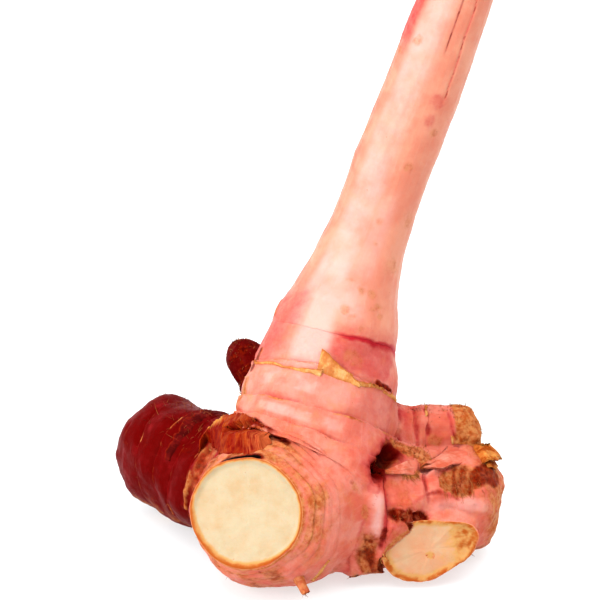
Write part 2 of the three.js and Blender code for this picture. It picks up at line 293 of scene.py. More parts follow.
UP = (0, 0, 1)
LIMBS = {
    # From the cut face through the barrel and the bend, and up the whole stem
    "trunk": Limb(
        [(-25, -45, 31.6, 17.6), (-20.3, -37.5, 27.4, 22.2), (-14.5, -28, 25.7, 25.6),
         (-9.4, -18.5, 27.8, 26.6), (-5.6, -10, 34, 26.6), (-3.4, -3.6, 43.3, 25),
         (-1.4, 1.2, 51, 23.8), (0.6, 5, 57.8, 22.9), (3, 9.6, 68, 21), (6, 13.3, 80, 18),
         (10.2, 16.3, 92, 14.7), (14.6, 18.6, 103, 12.5), (20.2, 21, 119, 12),
         (25.9, 22.8, 136, 12.5), (32.8, 24.3, 153, 12), (38.9, 25.6, 170.5, 11.5),
         (43.2, 26.3, 182.5, 11)],
        (0.88, -0.47, 0),
        rings=(3.5, 8, 12.5, 17, 22.5, 28, 34, 41, 48.5, 56.5, 69),
        facings=((0, (-0.253, -0.883, 0.396), True), (18, None, False), (30, None, False),
                 (46, (0.4, 0.54, 0.74), False), (58, (0.3, 0.54, 0.79), False),
                 (SHEATH_RING, (0.2, 0.48, 0.85), False), (108, None, False)),
        calm=(SHEATH_RING, SHEATH_RING + 25),
        heights=(0.6, 0.45, 0.2, 0.4, 0.2, 0.3, 0.6, 0.9, 1, 1, 1),
    ),
    # The lump at the right
    "lump": Limb(
        [(2, -16, 20.5, 21), (16, -14.5, 19.8, 19.3), (33, -8.5, 18.4, 17),
         (46, -5.5, 18.6, 17), (57.5, -3, 19.3, 15.5)],
        UP, rings=(13.5, 24.5, 33.5), heights=(0.6, 0.4, 0.3), dome=12,
    ),
    # The finger that was cut off at the lower right, with an oval scar
    "scarred": Limb(
        [(30, -8, 15.5, 12.5), (33, -20, 13.8, 14.4), (34, -32.5, 12.8, 15.4)],
        UP, tall=0.54, roll=0.25, facings=((12, None, False), (22, (0.05, -0.95, 0.3), True)),
    ),
    # The thin finger at the upper right, broken off square
    "finger": Limb(
        [(8, 2, 36, 12), (22, 3, 37.8, 9.4), (35, 4.5, 37.8, 8), (51, 5, 37.2, 6.6)],
        UP, rings=(20.5, 25, 34), heights=(0.5, 0.5, 0.3), dome=4,
    ),
    # The knob at the back left
    "knob": Limb(
        [(-14, -14, 25, 18), (-26, -1.5, 21, 19.2), (-39, 12, 19.5, 19.2),
         (-52, 26, 18.6, 18.4), (-63, 38, 17.5, 15)],
        UP, rings=(24, 33, 42, 52, 61), dome=13,
    ),
    # The small bud that leans out behind the stem
    "bud": Limb(
        [(-10, 10, 44, 9), (-19, 16, 50, 8.5), (-25, 20, 56, 7.5), (-29, 22, 62, 6)],
        (0, -1, 0), rings=(10, 15), dome=6,
    ),
    # The spur behind, on which the root leans back
    "spur": Limb(
        [(-4, 2, 28, 20), (2, 20, 19.5, 18.2), (5, 34, 15.3, 15.7), (6, 46, 13.2, 13.6)],
        UP, rings=(20, 27, 35), facings=((34, None, False), (47, (0.1, 0.97, 0.2), True)),
    ),
}
NUMBER = {name: i + 1 for i, name in enumerate(LIMBS)}
STUB = len(NUMBER) + 1
for limb in LIMBS.values():
    limb.neighbours = [other for other in LIMBS.values() if other is not limb]
trunk, lump, knob = LIMBS["trunk"], LIMBS["lump"], LIMBS["knob"]


# Meshes


def row_lengths(limb, start, stop, step):
    """Lengths for a limb's rows of points: close together at a ring, and even on a dome."""
    straight = min(stop, limb.length - limb.dome)
    marks = [start, straight, *(ring + row for ring in limb.rings for row in RING_ROWS)]
    rows = [start]
    for mark in sorted(m for m in marks if start < m <= straight):
        gap = mark - rows[-1]
        if gap > LEAST_GAP:
            count = math.ceil(gap / step)
            rows.extend(rows[-1] + gap * np.arange(1, count + 1) / count)
    if limb.dome and stop > straight:
        count = math.ceil(1.6 * limb.dome / step)
        turn = np.linspace(0, DOME_TURN, count + 1)[1:]
        rows.extend(limb.length - limb.dome * (1 - np.sin(turn)))
    return np.array(rows)


def cap_rows(rim, count, shape, outward):
    """Rows from a cut's rim in to its middle, raised by shape, and how far in each point is."""
    middle = rim.mean(0)
    spokes = middle - rim
    normal = unit(np.cross(rim[len(rim) // 4] - middle, rim[0] - middle))
    normal = normal * np.sign(normal @ outward)
    shares = (np.arange(1, count + 1) / (count + 0.5)) ** 1.25
    points = rim[None] + spokes[None] * shares[:, None, None]
    into = np.linalg.norm(spokes, axis=-1)[None] * shares[:, None]
    return points + normal * shape(into, points)[..., None], into


def cut_shape(lip, sunk, grain):
    """A cut face: a dried lip at its rim, and flesh that has shrunk back a little."""

    def shape(into, points):
        edge = lip * np.exp(-(((into - 0.7) / 0.5) ** 2))
        flesh = -sunk * smooth(into, 1.0, 2.4) + grain * fractal(points, 7, 21)
        return edge + flesh * smooth(into, 0, 1.5) + 0.05 * noise(points, 1.3, 22)

    return shape


def tube_faces(rows, sides):
    """The faces between the rows of a tube."""
    i, j = np.meshgrid(np.arange(rows - 1), np.arange(sides), indexing="ij")
    corners = [(i, j), (i, j + 1), (i + 1, j + 1), (i + 1, j)]
    return np.stack([row * sides + side % sides for row, side in corners], -1).reshape(-1, 4)


def loft(points, facts):
    """A closed skin over rows of points, its end rows closed by fans."""
    count, sides = points.shape[:2]
    first, last, top = count * sides, count * sides + 1, (count - 1) * sides
    around = np.arange(sides)
    onward = (around + 1) % sides
    low_fan = np.stack([np.full(sides, first), onward, around], -1)
    high_fan = np.stack([np.full(sides, last), top + around, top + onward], -1)
    flat = np.vstack([points.reshape(-1, 3), points[0].mean(0), points[-1].mean(0)])
    values = {
        name: np.concatenate([v.ravel(), [v[0].mean(), v[-1].mean()]])
        for name, v in facts.items()
    }
    return flat, [tube_faces(count, sides), np.vstack([low_fan, high_fan])], values


def make_mesh(name, points, faces, values):
    mesh = bpy.data.meshes.new(name)
    flat = [face for group in faces for face in group.tolist()]
    mesh.from_pydata(points.tolist(), [], flat)
    for key, value in values.items():
        layer = mesh.attributes.new(key, "FLOAT", "POINT")
        layer.data.foreach_set("value", np.asarray(value, np.float32))
    return mesh


def make_object(name, mesh):
    piece = bpy.data.objects.new(name, mesh)
    bpy.context.scene.collection.objects.link(piece)
    return piece


def smooth_object(name, mesh):
    mesh.polygons.foreach_set("use_smooth", np.ones(len(mesh.polygons), bool))
    return make_object(name, mesh)


def in_row_frame(points):
    """Points in station coordinates as metres in the row frame."""
    return (points - MIDDLE) / 1000


def limb_object(name, sides, step, stop=None, start_cap=None, end_cap=None, cap_count=0, start=0.0):
    """A limb's closed skin. Either end may be a cut, which a cap closes."""
    limb = LIMBS[name]
    s = row_lengths(limb, start, limb.length if stop is None else stop, step * COARSE)
    angle = np.linspace(0, 2 * np.pi, int(sides / COARSE), endpoint=False)
    points, facts = limb.skin(s[:, None], angle[None, :])

    def with_cap(rows, cap):
        return np.concatenate([cap[::-1], rows] if start_cap else [rows, cap])

    if start_cap or end_cap:
        rim, outward = (0, -limb.tangent[0]) if start_cap else (-1, limb.tangent[-1])
        cap, into = cap_rows(points[rim], int(cap_count / COARSE), start_cap or end_cap, outward)
        points = with_cap(points, cap)
        for key, value in facts.items():
            plain = key in ("lip", "groove", "meet")
            on_cap = np.repeat(0 * value[rim][None] if plain else value[rim][None], len(cap), 0)
            facts[key] = with_cap(value, into if key == "cut" else on_cap)
    facts["limb"] = np.full(points.shape[:2], float(NUMBER[name]))
    return make_object(name + "_part", make_mesh(name + "_part", *loft(points, facts)))


# Stubs of thin roots that were pulled off: limb, length, degrees, and the stub's length and radius
STUBS = (
    ("trunk", 12, 50, 5, 1.9),
    ("trunk", 20, 128, 4, 1.5),
    ("trunk", 27, 42, 3, 1.2),
    ("trunk", 44, 150, 4.5, 1.6),
    ("lump", 21, 122, 3.5, 1.4),
    ("lump", 40, 124, 3, 1.2),
    ("lump", 30, 255, 5, 1.6),
    ("knob", 20, 238, 4, 1.5),
    ("knob", 46, 138, 5, 1.7),
    ("knob", 56, 130, 4, 1.4),
    ("spur", 31, 118, 4, 1.4),
)


def stub_object(number, name, s, degrees, length, radius):
    limb, angle = LIMBS[name], math.radians(degrees)
    foot = limb.skin(s, angle, -3)[0]
    tip = limb.skin(s, angle, length)[0]
    axis = unit(tip - foot)
    side = unit(np.cross(axis, [0.3, 0.9, 0.2]))
    other = np.cross(axis, side)
    sides = 22
    # Share of the way along, share of the radius, for the flank and the torn hollow end
    profile = [(t, 1 + 0.5 * (1 - t) ** 6 - 0.3 * t) for t in np.linspace(0, 1, 18)]
    profile += [(1.02, 0.6), (0.99, 0.45), (0.93, 0.3), (0.9, 0.12)]
    turn = np.linspace(0, 2 * np.pi, sides, endpoint=False)
    rows = []
    for along, share in profile:
        ring = np.outer(np.cos(turn), side) + np.outer(np.sin(turn), other)
        row = foot + (tip - foot) * along + ring * radius * share
        row = row + ring * (0.22 * noise(row + 5 * number, 1.1, 31))[:, None]
        rows.append(row + axis * (0.5 * along**3 * noise(row, 1.0, 32))[:, None])
    points = np.array(rows)
    keys = ("s", "angle_cos", "angle_sin", "lip", "groove", "meet", "cut")
    facts = {key: np.zeros(points.shape[:2]) for key in keys}
    facts["s"] += np.array([along for along, _ in profile])[:, None]
    facts["limb"] = np.full(points.shape[:2], float(STUB))
    return make_object("stub_part", make_mesh("stub_part", *loft(points, facts)))


def joined(parts):
    """The parts joined into one closed skin, which keeps what is known about each point."""
    host = parts[0]
    for part in parts[1:]:
        union = host.modifiers.new("join", "BOOLEAN")
        union.operation = "UNION"
        union.solver = "MANIFOLD"
        union.object = part
    graph = bpy.context.evaluated_depsgraph_get()
    mesh = bpy.data.meshes.new_from_object(host.evaluated_get(graph))
    for part in parts:
        bpy.data.objects.remove(part)
    return mesh


class Surface:
    """A mesh's points, edges and values as arrays, in station coordinates."""

    def __init__(self, mesh):
        self.mesh = mesh
        self.count = len(mesh.vertices)
        self.points = np.empty((self.count, 3))
        self.read(mesh.vertices, "co", self.points)
        self.edges = np.empty((len(mesh.edges), 2), int)
        self.read(mesh.edges, "vertices", self.edges)
        self.values = {}
        for layer in mesh.attributes:
            if layer.data_type == "FLOAT" and layer.domain == "POINT":
                self.values[layer.name] = np.empty(self.count)
                self.read(layer.data, "value", self.values[layer.name])

    @staticmethod
    def read(source, key, target):
        kind = np.int32 if target.dtype == int else np.float32
        flat = np.empty(target.size, kind)
        source.foreach_get(key, flat)
        target[...] = flat.reshape(target.shape)

    def spread(self, values):
        """The sum of each point's neighbours' values."""
        a, b = self.edges.T
        return np.bincount(a, values[b], self.count) + np.bincount(b, values[a], self.count)

    def fill_seams(self):
        """Gives the points where two parts meet their neighbours' values."""
        for _ in range(4):
            known = (self.values["limb"] > 0).astype(float)
            beside = self.spread(known)
            gaps = (known == 0) & (beside > 0)
            for key, value in self.values.items():
                mean = self.spread(value * known)[gaps] / beside[gaps]
                value[gaps] = np.maximum(1, np.round(mean)) if key == "limb" else mean

    def relax(self, weight, rounds):
        beside = np.maximum(1, self.spread(np.ones(self.count)))
        for _ in range(rounds):
            mean = np.stack([self.spread(self.points[:, i]) for i in range(3)], -1)
            mean = mean / beside[:, None]
            self.points += 0.5 * weight[:, None] * (mean - self.points)

    def store(self):
        self.mesh.vertices.foreach_set("co", self.points.astype(np.float32).ravel())
        self.mesh.update()

    def normals(self):
        self.store()
        result = np.empty((self.count, 3))
        self.read(self.mesh.vertex_normals, "vector", result)
        return result

    def turns(self):
        """Each point's degrees round its limb, and the same with 360 more on the right side."""
        angle = np.degrees(np.arctan2(self.values["angle_sin"], self.values["angle_cos"])) % 360
        return angle, np.where(angle < 90, angle + 360, angle)


def near_path(points, path, radius, soft, wobble=0.0, seed=0):
    """1 within radius of a path, falling to 0 over soft. Wobble makes the edge uneven."""
    path = np.array(path, float)
    if len(path) == 1:
        path = np.vstack([path, path + 1e-3])
    nearest = np.full(len(points), 1e9)
    for start, end in zip(path[:-1], path[1:]):
        line = end - start
        share = np.clip((points - start) @ line / (line @ line), 0, 1)
        apart = np.linalg.norm(points - start - share[:, None] * line, axis=1)
        nearest = np.minimum(nearest, apart)
    if wobble:
        nearest = nearest + wobble * fractal(points, 4, seed)
    return 1 - smooth(nearest, radius, radius + soft)


# The rhizome

parts = [
    limb_object("trunk", 280, 0.6, SEAM + 1.5, start_cap=cut_shape(0.35, 0.6, 0.25), cap_count=30),
    limb_object("lump", 190, 0.6),
    limb_object("scarred", 150, 0.6, end_cap=cut_shape(0.3, 0.2, 0.45), cap_count=22),
    limb_object("finger", 96, 0.6),
    limb_object("knob", 170, 0.75),
    limb_object("bud", 70, 0.6),
    limb_object("spur", 130, 0.75, end_cap=cut_shape(0.3, 0.4, 0.3), cap_count=14),
]
parts += [stub_object(i, *stub) for i, stub in enumerate(STUBS)]
surface = Surface(joined(parts))
surface.fill_seams()
known, s = surface.values, surface.values["s"]
which = np.round(known["limb"]).astype(int)
on = {name: which == number for name, number in NUMBER.items()}
on["stub"] = which == STUB
angle, onward = surface.turns()
joint = smooth(known["meet"], 0.55, 0.95) * (1 - on["stub"])
surface.relax(joint * (known["lip"] < 0.2), 10)


def trail(name, *places):
    """Points of a limb's skin, each at a length and an angle in degrees."""
    limb = LIMBS[name]
    return [limb.skin(float(at), math.radians(turn), plain=True)[0] for at, turn in places]


# How far the stem's two sides stand out past its stations: the side in degrees, and millimetres
# at lengths
SIDES = (
    (208, ((74, 0), (80, 0.35), (86, 0.9), (90, 1), (94, 0.3), (99, -0.5), (105, -1), (111, -0.65),
           (117, 0), (124, 0.5), (131, 0.35), (138, 0.7), (142, 1), (146, 0.5), (150, -0.2),
           (158, -0.65), (164, -0.4), (171, 0), (178, 0.4), (186, 0.6), (196, 0.7), (207, 0))),
    (12, ((76, 0), (84, 0.35), (92, 0.3), (104, 0.3), (112, 0.4), (120, 0.7), (126, 0.75),
          (134, 0.55), (140, 0.55), (148, 0.9), (154, 0.85), (162, 0.55), (170, 0.45),
          (178, 0.05), (190, 0.25), (200, 0.3), (207, 0))),
)


def side_push(s, turn):
    """The push that SIDES gives, run smooth along the stem."""
    bell = np.exp(-((np.arange(-12, 12.5, 0.5) / 4) ** 2))
    push = np.zeros(len(s))
    for middle, stations in SIDES:
        lengths, amounts = zip(*stations)
        along = np.arange(lengths[0] - 12, lengths[-1] + 12, 0.5)
        amount = np.convolve(np.interp(along, lengths, amounts), bell / bell.sum(), "same")
        push += np.interp(s, along, amount) * np.clip(np.cos(np.radians(turn - middle)), 0, 1)
    return push


# Where the marks of the photo's side lie, as paths in station coordinates
FORK = [(16.5, -28.5, 38.5), (18.7, -23.5, 39.5), (21.5, -17, 40.3)]
HOLLOW = [(31.4, -18.6, 33.4), (33.4, -16.2, 33.9)]
CREASE = [(18.9, -26, 38), (19.6, -30, 33), (19.8, -33.6, 27), (19, -35.4, 20), (17.5, -35, 14)]
CREVICE = [(31.6, -20.5, 32.6), (32.6, -24.4, 29.4), (33.6, -26.6, 25.5), (34, -28, 22.5)]
TORN = trail("lump", (15.4, 74), (17.8, 77), (20.4, 80), (23.4, 82))
TORN_LOW = trail("lump", (19.4, 84), (21, 90))
BULGE = [(15.9, -33, 30.5), (16.4, -34, 26), (16, -34.6, 20.5)]
FIBRES = trail("lump", (37.5, 46), (41.5, 36), (45, 42), (41, 54))
BRUISE = [(49, -16.4, 30.5), (52.5, -12.5, 30.5), (54.5, -12, 28)]
RIDGE = [(31.5, -19.4, 33.2), (36.6, -15.6, 34), (41.5, -11.8, 35)]
BAND = [(35.8, -25.1, 24), (38.3, -23.9, 24.3), (46.7, -23.1, 23.5), (53, -20.4, 21.6)]
FOLD = trail("lump", (33, 40), (36.5, 30), (41, 22))
DIRT = [(20.6, -17.1, 40.6), (25, -11.5, 38.8), (29.4, -11.7, 36.6), (32, -12.5, 35.4)]
UNDER = [(13.8, -34.9, 16.5), (13.2, -34.5, 13), (13.6, -33, 9.5), (17, -33.3, 8)]
STREAK = [(8.4, -36.2, 38), (10.8, -35.9, 33.6), (12, -36, 29.4), (12.6, -36.4, 24),
          (12.2, -36.2, 17)]
SLIT = [(-31.5, -36, 45.2), (-28.5, -37, 46.6), (-25, -37.8, 47.8), (-20.8, -38.4, 48.2)]
TEAR = trail("knob", (21, 330), (20.5, 314), (20.5, 302), (22, 290), (23.5, 278), (24.5, 262))
TAN_PATCH = [(-4, -47, 35.5), (-1, -43.5, 37.5)]
BLUSH = [(7.5, -11.5, 71), (13.5, -8.5, 68.5), (19, -5, 65)]
SCUFF = [(7, -12.4, 70.5), (10, -11.5, 69)]
TUFT = trail("lump", (19, 36), (22.5, 34))
WEDGE = [(-22.5, -22, 52.7), (-19.5, -25.5, 52.5), (-17, -27.8, 51.5), (-14.5, -29.3, 50.6),
         (-11.9, -31.3, 49.7)]
STAIN = trail("trunk", (54.5, 219), (58.5, 219), (61, 221))
HUSK = trail("trunk", (65, 224), (69, 226), (73, 226))
BELLY = [(8.5, -31.4, 6.8), (12.5, -30.5, 7.3), (16, -31, 8)]
CLASP = trail("trunk", (70.6, 341), (70.3, 350), (70, 360))
VALLEY = [(35, -13.9, 34.2), (37.2, -10.2, 34.1), (39.9, -6.8, 34.6), (42.8, -3.8, 35.3),
          (46, -2.4, 37)]
SCAR_EDGE = [(19.4, -34.5, 12.5), (21.3, -33.1, 15), (23.9, -32.6, 16.9), (27.1, -31.5, 18.8),
             (31, -30, 20.6)]
SCAR_RIGHT = [(46, -31, 17), (48, -30.4, 10), (43, -32, 5)]
SCAR_SPOT = [(33.3, -33.4, 11.2), (34, -33.4, 10.8)]
MARGIN = trail("trunk", (91, 213), (88, 218), (85.5, 224))
MERGES = (
    [(34.3, -27.7, 22.2), (36.8, -25, 22.6), (40.7, -23, 22.9), (44.4, -23.6, 22.7)],
    [(44.4, -23.6, 22.7), (47.7, -23.5, 20.4), (50.1, -22.6, 17.4)],
    [(1, -34, 46.2), (6.4, -33, 43.4), (8.8, -32.7, 42), (11, -32, 40.3), (13, -31.2, 38.2)],
    [(0, -36.5, 44.8), (4.8, -36.3, 42.1), (7.8, -35.4, 39.6), (10.8, -34.7, 37),
     (12.9, -34.6, 32.6)],
    [(12.9, -34.6, 32.6), (14.8, -34.2, 29.1), (15.4, -34.8, 22), (14.3, -34.8, 17.3)],
)
FURROWS = (
    [(28.8, 3.8, 46.7), (29.2, -2, 44), (30, -5.5, 40), (30.2, -6.7, 37.3)],
    [(32.6, 2.2, 46.4), (33.6, -3.2, 40.9), (34.4, -7, 37), (34.9, -12.8, 34.6)],
    [(40.4, 0.9, 45.6), (41.5, -2.8, 41), (43.2, -2.4, 37)],
)

# Each path with its push in millimetres, and the radius, soft edge, wobble and seed of near_path
PUSHES = (
    (FORK, -4.6, 0.8, 2.8, 1.5, 51),
    (HOLLOW, -1.8, 0.4, 1.8, 0.6, 50),
    (CREASE, -1.5, 0.2, 1.5, 0.5, 52),
    (CREVICE, -1, 0.05, 0.8, 0.8, 53),
    (VALLEY, -1.2, 0.1, 1.4, 0.7, 69),
    (FOLD, -0.5, 0.05, 1, 0.5, 68),
    (BULGE, 1.4, 0.8, 4.6),
    (RIDGE, 1.3, 0.3, 1.8, 0.5, 56),
    (BAND, 0.6, 0.8, 2.4, 0.5, 63),
    (TEAR, 0.7, 0.3, 1.2, 0.9, 64),
    (WEDGE, -0.9, 0.2, 1.1, 0.4, 95),
    (CLASP, 0.5, 0.5, 0.9, 0.6, 96),
    *((furrow, -0.6, 0.05, 0.9, 0.6, 67) for furrow in FURROWS),
)


# Sculpting

merging = np.maximum.reduce([near_path(surface.points, line, 1.3, 2.6) for line in MERGES])
surface.relax(merging, 60)
for key in ("lip", "groove"):
    known[key] = known[key] * (1 - merging)
rest = surface.points.copy()
normals = surface.normals()


def near(path, *reach):
    """How near a path the points of the skin in hand are. Reach is what near_path takes."""
    return near_path(rest, path, *reach)


cut = known["cut"]
skin = cut == 0
torn = skin * np.maximum(near(TORN, 1.7, 1.2, 1.4, 54), near(TORN_LOW, 0.7, 1, 1.2, 54))
fibrous = near(FIBRES, 3, 1.8, 1.8, 57)
streaks = noise(rest * (1, 0.16, 0.16), 0.9, 58)
finger_end = on["finger"] * smooth(s + 0.6 * fractal(rest, 3, 60), 33.6, 34.8)
fresh = 1 - smooth(cut, 0, 1.5)
at_right = on["lump"] | on["scarred"] | on["finger"]
push = 0.55 * at_right * fractal(rest, 6, 65, 4) + 0.2 * fractal(rest, 3.5, 66)
push += 0.22 * fractal(rest, 6, 61) + 0.08 * fractal(rest, 1.8, 62)
push *= fresh
push -= torn * (1.3 + fractal(rest, 2.2, 55))
push += fibrous * (0.4 * streaks - 0.3)
push += finger_end * (0.45 * fractal(rest, 2.2, 59) + 0.15)
push += 4.2 * near(BELLY, 1, 5.5) * (1 - on["scarred"])
for path, height, *reach in PUSHES:
    push += height * near(path, *reach)
push *= 1 - on["trunk"] * smooth(s, SEAM - 4, SEAM - 0.6)
push -= 0.28 * on["trunk"] * smooth(s, SEAM - 0.3, SEAM + 0.1)
push += on["trunk"] * side_push(s, angle)
surface.points += normals * push[:, None]
surface.points[:, 2] = np.maximum(surface.points[:, 2], 0)
normals = surface.normals()
points = surface.points.copy()


# Painting


def span(value, start, full, hold, end):
    """Rises from start to full and falls from hold to end."""
    return smooth(value, start, full) * (1 - smooth(value, hold, end))


def zone(name, along, turned=None):
    """A part of a limb: along it and round it in degrees, each with the four numbers of span."""
    region = on[name] * span(s, *along)
    if turned:
        region = region * span(angle if turned[0] < 90 else onward, *turned)
    return region


class Paint:
    """How much of each tone every point of a skin has."""

    TONES = ("pale", "red", "deep", "tan", "brown", "black", "cream", "rim", "scar", "dry")

    def __init__(self, patch, speckle):
        self.patch, self.speckle = fractal(rest, *patch), fractal(rest, 1.6, speckle)
        self.amounts = {tone: np.zeros(len(rest)) for tone in self.TONES}

    def lay(self, tone, amount):
        self.amounts[tone] = np.maximum(self.amounts[tone], amount)

    def blotch(self, region, *tones):
        """Lays tones on a region, each with its amount and perhaps where patch brings it in."""
        for tone, amount, *patchy in tones:
            self.lay(tone, amount * region * (smooth(self.patch, *patchy) if patchy else 1))

    def stroke(self, path, *tones):
        """Lays tones along a path, each with its amount and its reach."""
        for tone, amount, *reach in tones:
            self.lay(tone, amount * near(path, *reach))

    def bare(self, share):
        """Takes the paint off where share is high."""
        for tone in self.TONES:
            self.amounts[tone] = self.amounts[tone] * (1 - share)


def painted(name, surface, paint):
    """The object of a surface with its paint, in the row frame."""
    known, mesh = surface.values, surface.mesh
    grain = np.stack([20 * known["angle_cos"], 20 * known["angle_sin"], known["s"]], -1) / 1000
    layer = mesh.attributes.new("grain", "FLOAT_VECTOR", "POINT")
    layer.data.foreach_set("vector", grain.astype(np.float32).ravel())
    for tone, amount in paint.amounts.items():
        layer = mesh.attributes.new(tone, "FLOAT", "POINT")
        layer.data.foreach_set("value", np.clip(amount, 0, 1).astype(np.float32))
    surface.points = in_row_frame(surface.points)
    surface.store()
    mesh.materials.clear()
    return smooth_object(name, mesh)


paint = Paint((4.5, 71, 5), 72)
lay, blotch, stroke = paint.lay, paint.blotch, paint.stroke
patch, speckle = paint.patch, paint.speckle
blotch(known["lip"], ("tan", 0.75, -0.25, 0.35), ("dry", 1, -0.25, 0.35), ("brown", 0.6, 0.25, 0.6))
# Redder ring grooves: partly the rings' own colour, partly painted shade under each lip
blotch(known["groove"], ("red", 0.5))

# Dirt and painted shade where limbs meet, dirt low down where the root lay in the ground, and
# redder skin towards the bottom
# Red and brown in the creases where limbs meet: dirt, darkened further as painted shade
fork = smooth(known["meet"], 0.75, 1) * (1 - on["stub"]) * (1 - merging)
blotch(fork, ("red", 0.5), ("brown", 0.6, -0.2, 0.5))
blotch(1 - smooth(rest[:, 2], 3, 14), ("tan", 0.7, -0.5, 0.4), ("brown", 0.65, 0, 0.7))
# Redder towards the bottom
blotch(1 - smooth(rest[:, 2], 4, 26), ("red", 0.35))

# The foot of the stem
foot = on["trunk"] * span(s, 45, 60, 100, 101)
# The foot is a little paler all over; the pale column down its front is a painted highlight
lay("pale", foot * np.maximum(0.25, 0.66 * span(angle, 248, 268, 288, 302) * smooth(s, 62, 72)))
lay("red", 0.46 * foot * span(angle, 190, 212, 236, 264) * smooth(s, 60, 75))
# Painted highlights on the swells between the foot's rings
blotch(zone("trunk", (58.5, 60.5, 63, 65.5), (228, 250, 285, 310)), ("pale", 0.5, -0.9, 0.3))
blotch(zone("trunk", (49.5, 51.5, 54, 56), (240, 256, 300, 325)), ("pale", 0.5, -0.9, 0.3))
# Painted shade: the right flank of the bend turns redder
blotch(zone("trunk", (36, 46, 74, 80), (288, 340, 375, 400)), ("red", 0.3))
blotch(near(BLUSH, 3.5, 5.5, 3, 73) * on["trunk"], ("red", 0.5))
blotch(near(SCUFF, 1.2, 3, 2, 89) * on["trunk"], ("tan", 0.45))
stroke(CLASP, ("brown", 0.95, 0.6, 0.9, 0.6, 96))
stroke(STAIN, ("tan", 0.85, 0.8, 2.6, 1.6, 102), ("brown", 0.4, 0.2, 1.6, 1, 103))
stroke(HUSK, ("tan", 0.7, 0.3, 1.8, 1.2, 104), ("brown", 0.75, 0.2, 1.6, 1.2, 105))
crimson = on["trunk"] * smooth(s + 0.8 * fractal(rest, 4, 97), SEAM - 3.4, SEAM)
lay("red", on["trunk"] * smooth(s, SEAM - 5, SEAM - 0.5) * 0.75 * span(onward, 312, 330, 350, 378))
lay("red", crimson * (0.15 + 0.85 * span(onward, 285, 312, 368, 385)))
lay("deep", 0.3 * crimson * span(onward, 316, 332, 356, 372))

# The barrel round the cut face, whose far end fades out into the bend
BARREL = (-2, -1, 30, 46)
blotch(zone("trunk", BARREL, (130, 160, 215, 240)), ("red", 0.75))
blotch(zone("trunk", BARREL, (150, 175, 215, 235)), ("deep", 0.35))
blotch(zone("trunk", BARREL, (235, 330, 400, 440)), ("red", 0.16))
blotch(zone("trunk", BARREL, (196, 215, 245, 275)) * span(s, 4, 10, 34, 44), ("red", 0.4))
lay("brown", 0.5 * zone("trunk", BARREL, (20, 60, 110, 150)) * smooth(speckle, 0.45, 0.7))
blotch(zone("trunk", (0.5, 2, 9, 20), (240, 275, 380, 420)), ("tan", 0.65, -0.7, 0.5))
blotch(
    zone("trunk", (0.5, 2, 9, 20), (30, 60, 140, 170)),
    ("tan", 0.6, -0.6, 0.4), ("brown", 0.45, 0, 0.5),
)
blotch(
    zone("trunk", (0.3, 1.5, 10, 18), (196, 210, 255, 290)),
    ("tan", 0.75, -0.9, 0.2), ("brown", 0.6, -0.35, 0.35),
)
blotch(
    zone("trunk", (0.3, 1.2, 10, 18), (225, 240, 284, 308)),
    ("tan", 0.8, -1.1, 0), ("brown", 0.35, -0.3, 0.4),
)
arcs = np.clip(2 * np.maximum(known["lip"], known["groove"]), 0, 1)
blotch(arcs * zone("trunk", (-2, -1, 13, 22)), ("tan", 0.9, -0.8, 0.1), ("brown", 0.55, -0.1, 0.5))
lay("tan", 0.9 * on["trunk"] * skin * (1 - smooth(s, 0.2, 1.2)))
# Painted shadow: black and brown along the gap under the front sheath's lifted edge
lay("black", near(SLIT, 0.4, 0.8, 0.4, 86) * skin)
lay("brown", 0.9 * near(SLIT, 1, 2, 0.8, 86) * skin)
stroke(TAN_PATCH, ("tan", 0.75, 1, 3, 2, 74))
# Painted shadow of the fold where the front sheath's right end tucks in
stroke(WEDGE, ("deep", 0.6, 0.4, 1.6, 0.6, 95), ("brown", 0.9, 0.3, 1.2, 0.6, 95))

# The lump, its crease, its crevice and its torn places
lump_ring, lump_right = zone("lump", (11, 14, 24, 27)), on["lump"] * smooth(s, 42, 52)
blotch(on["lump"], ("red", 0.2))
blotch(lump_ring, ("red", 0.4, -0.8, 0.4), ("tan", 0.45, -0.4, 0.5))
blotch(lump_right, ("red", 0.5), ("tan", 0.8, -1.2, 0.1), ("brown", 0.2, -0.2, 0.6))
blotch(zone("lump", (43, 49, 70, 80), (78, 98, 140, 165)), ("tan", 0.5))
# Painted highlight down the middle of the bulge
stroke(BULGE, ("pale", 0.66, 0, 5, 1.5, 70))
# Painted shade: dark red and brown along the crease
stroke(CREASE, ("red", 0.7, 0.4, 1.6, 0.5, 75))
stroke(CREASE[:2], ("brown", 0.7, 0.3, 1.2, 0.6, 76))
stroke(CREASE[3:], ("brown", 0.75, 0.5, 1.4, 0.8, 77))
# Painted shade in the fork's pit: red, deep red and black towards its core; the brown on the lump's
# side is dirt
stroke(FORK, ("red", 0.6, 3, 9, 1.5, 78), ("deep", 0.95, 1.6, 4.5, 1.5, 78))
stroke(FORK, ("black", 0.5, 0.3, 2.4, 1.5, 78))
blotch(near(FORK, 1.2, 2.6, 1.5, 78) * (1 - on["trunk"]), ("brown", 0.6))
# Painted shadow under the free edge of the second flap
stroke(FOLD, ("red", 0.5, 0.05, 1, 0.5, 68))
# Painted shade along the valley between the finger and the lump
stroke(VALLEY, ("deep", 0.7, 0.2, 1.6, 0.7, 69), ("brown", 0.8, 0.1, 1.1, 0.8, 69))
# Painted shade: black in the hollow, with brown round it
stroke(HOLLOW, ("black", 0.4, 0.1, 1.2, 0.6, 78), ("brown", 0.6, 0.6, 1.8, 0.8, 78))
# Painted shade along the crevice
stroke(CREVICE, ("brown", 0.45, 0, 0.7, 0.8, 79), ("red", 0.5, 0.2, 1.4, 0.9, 79))
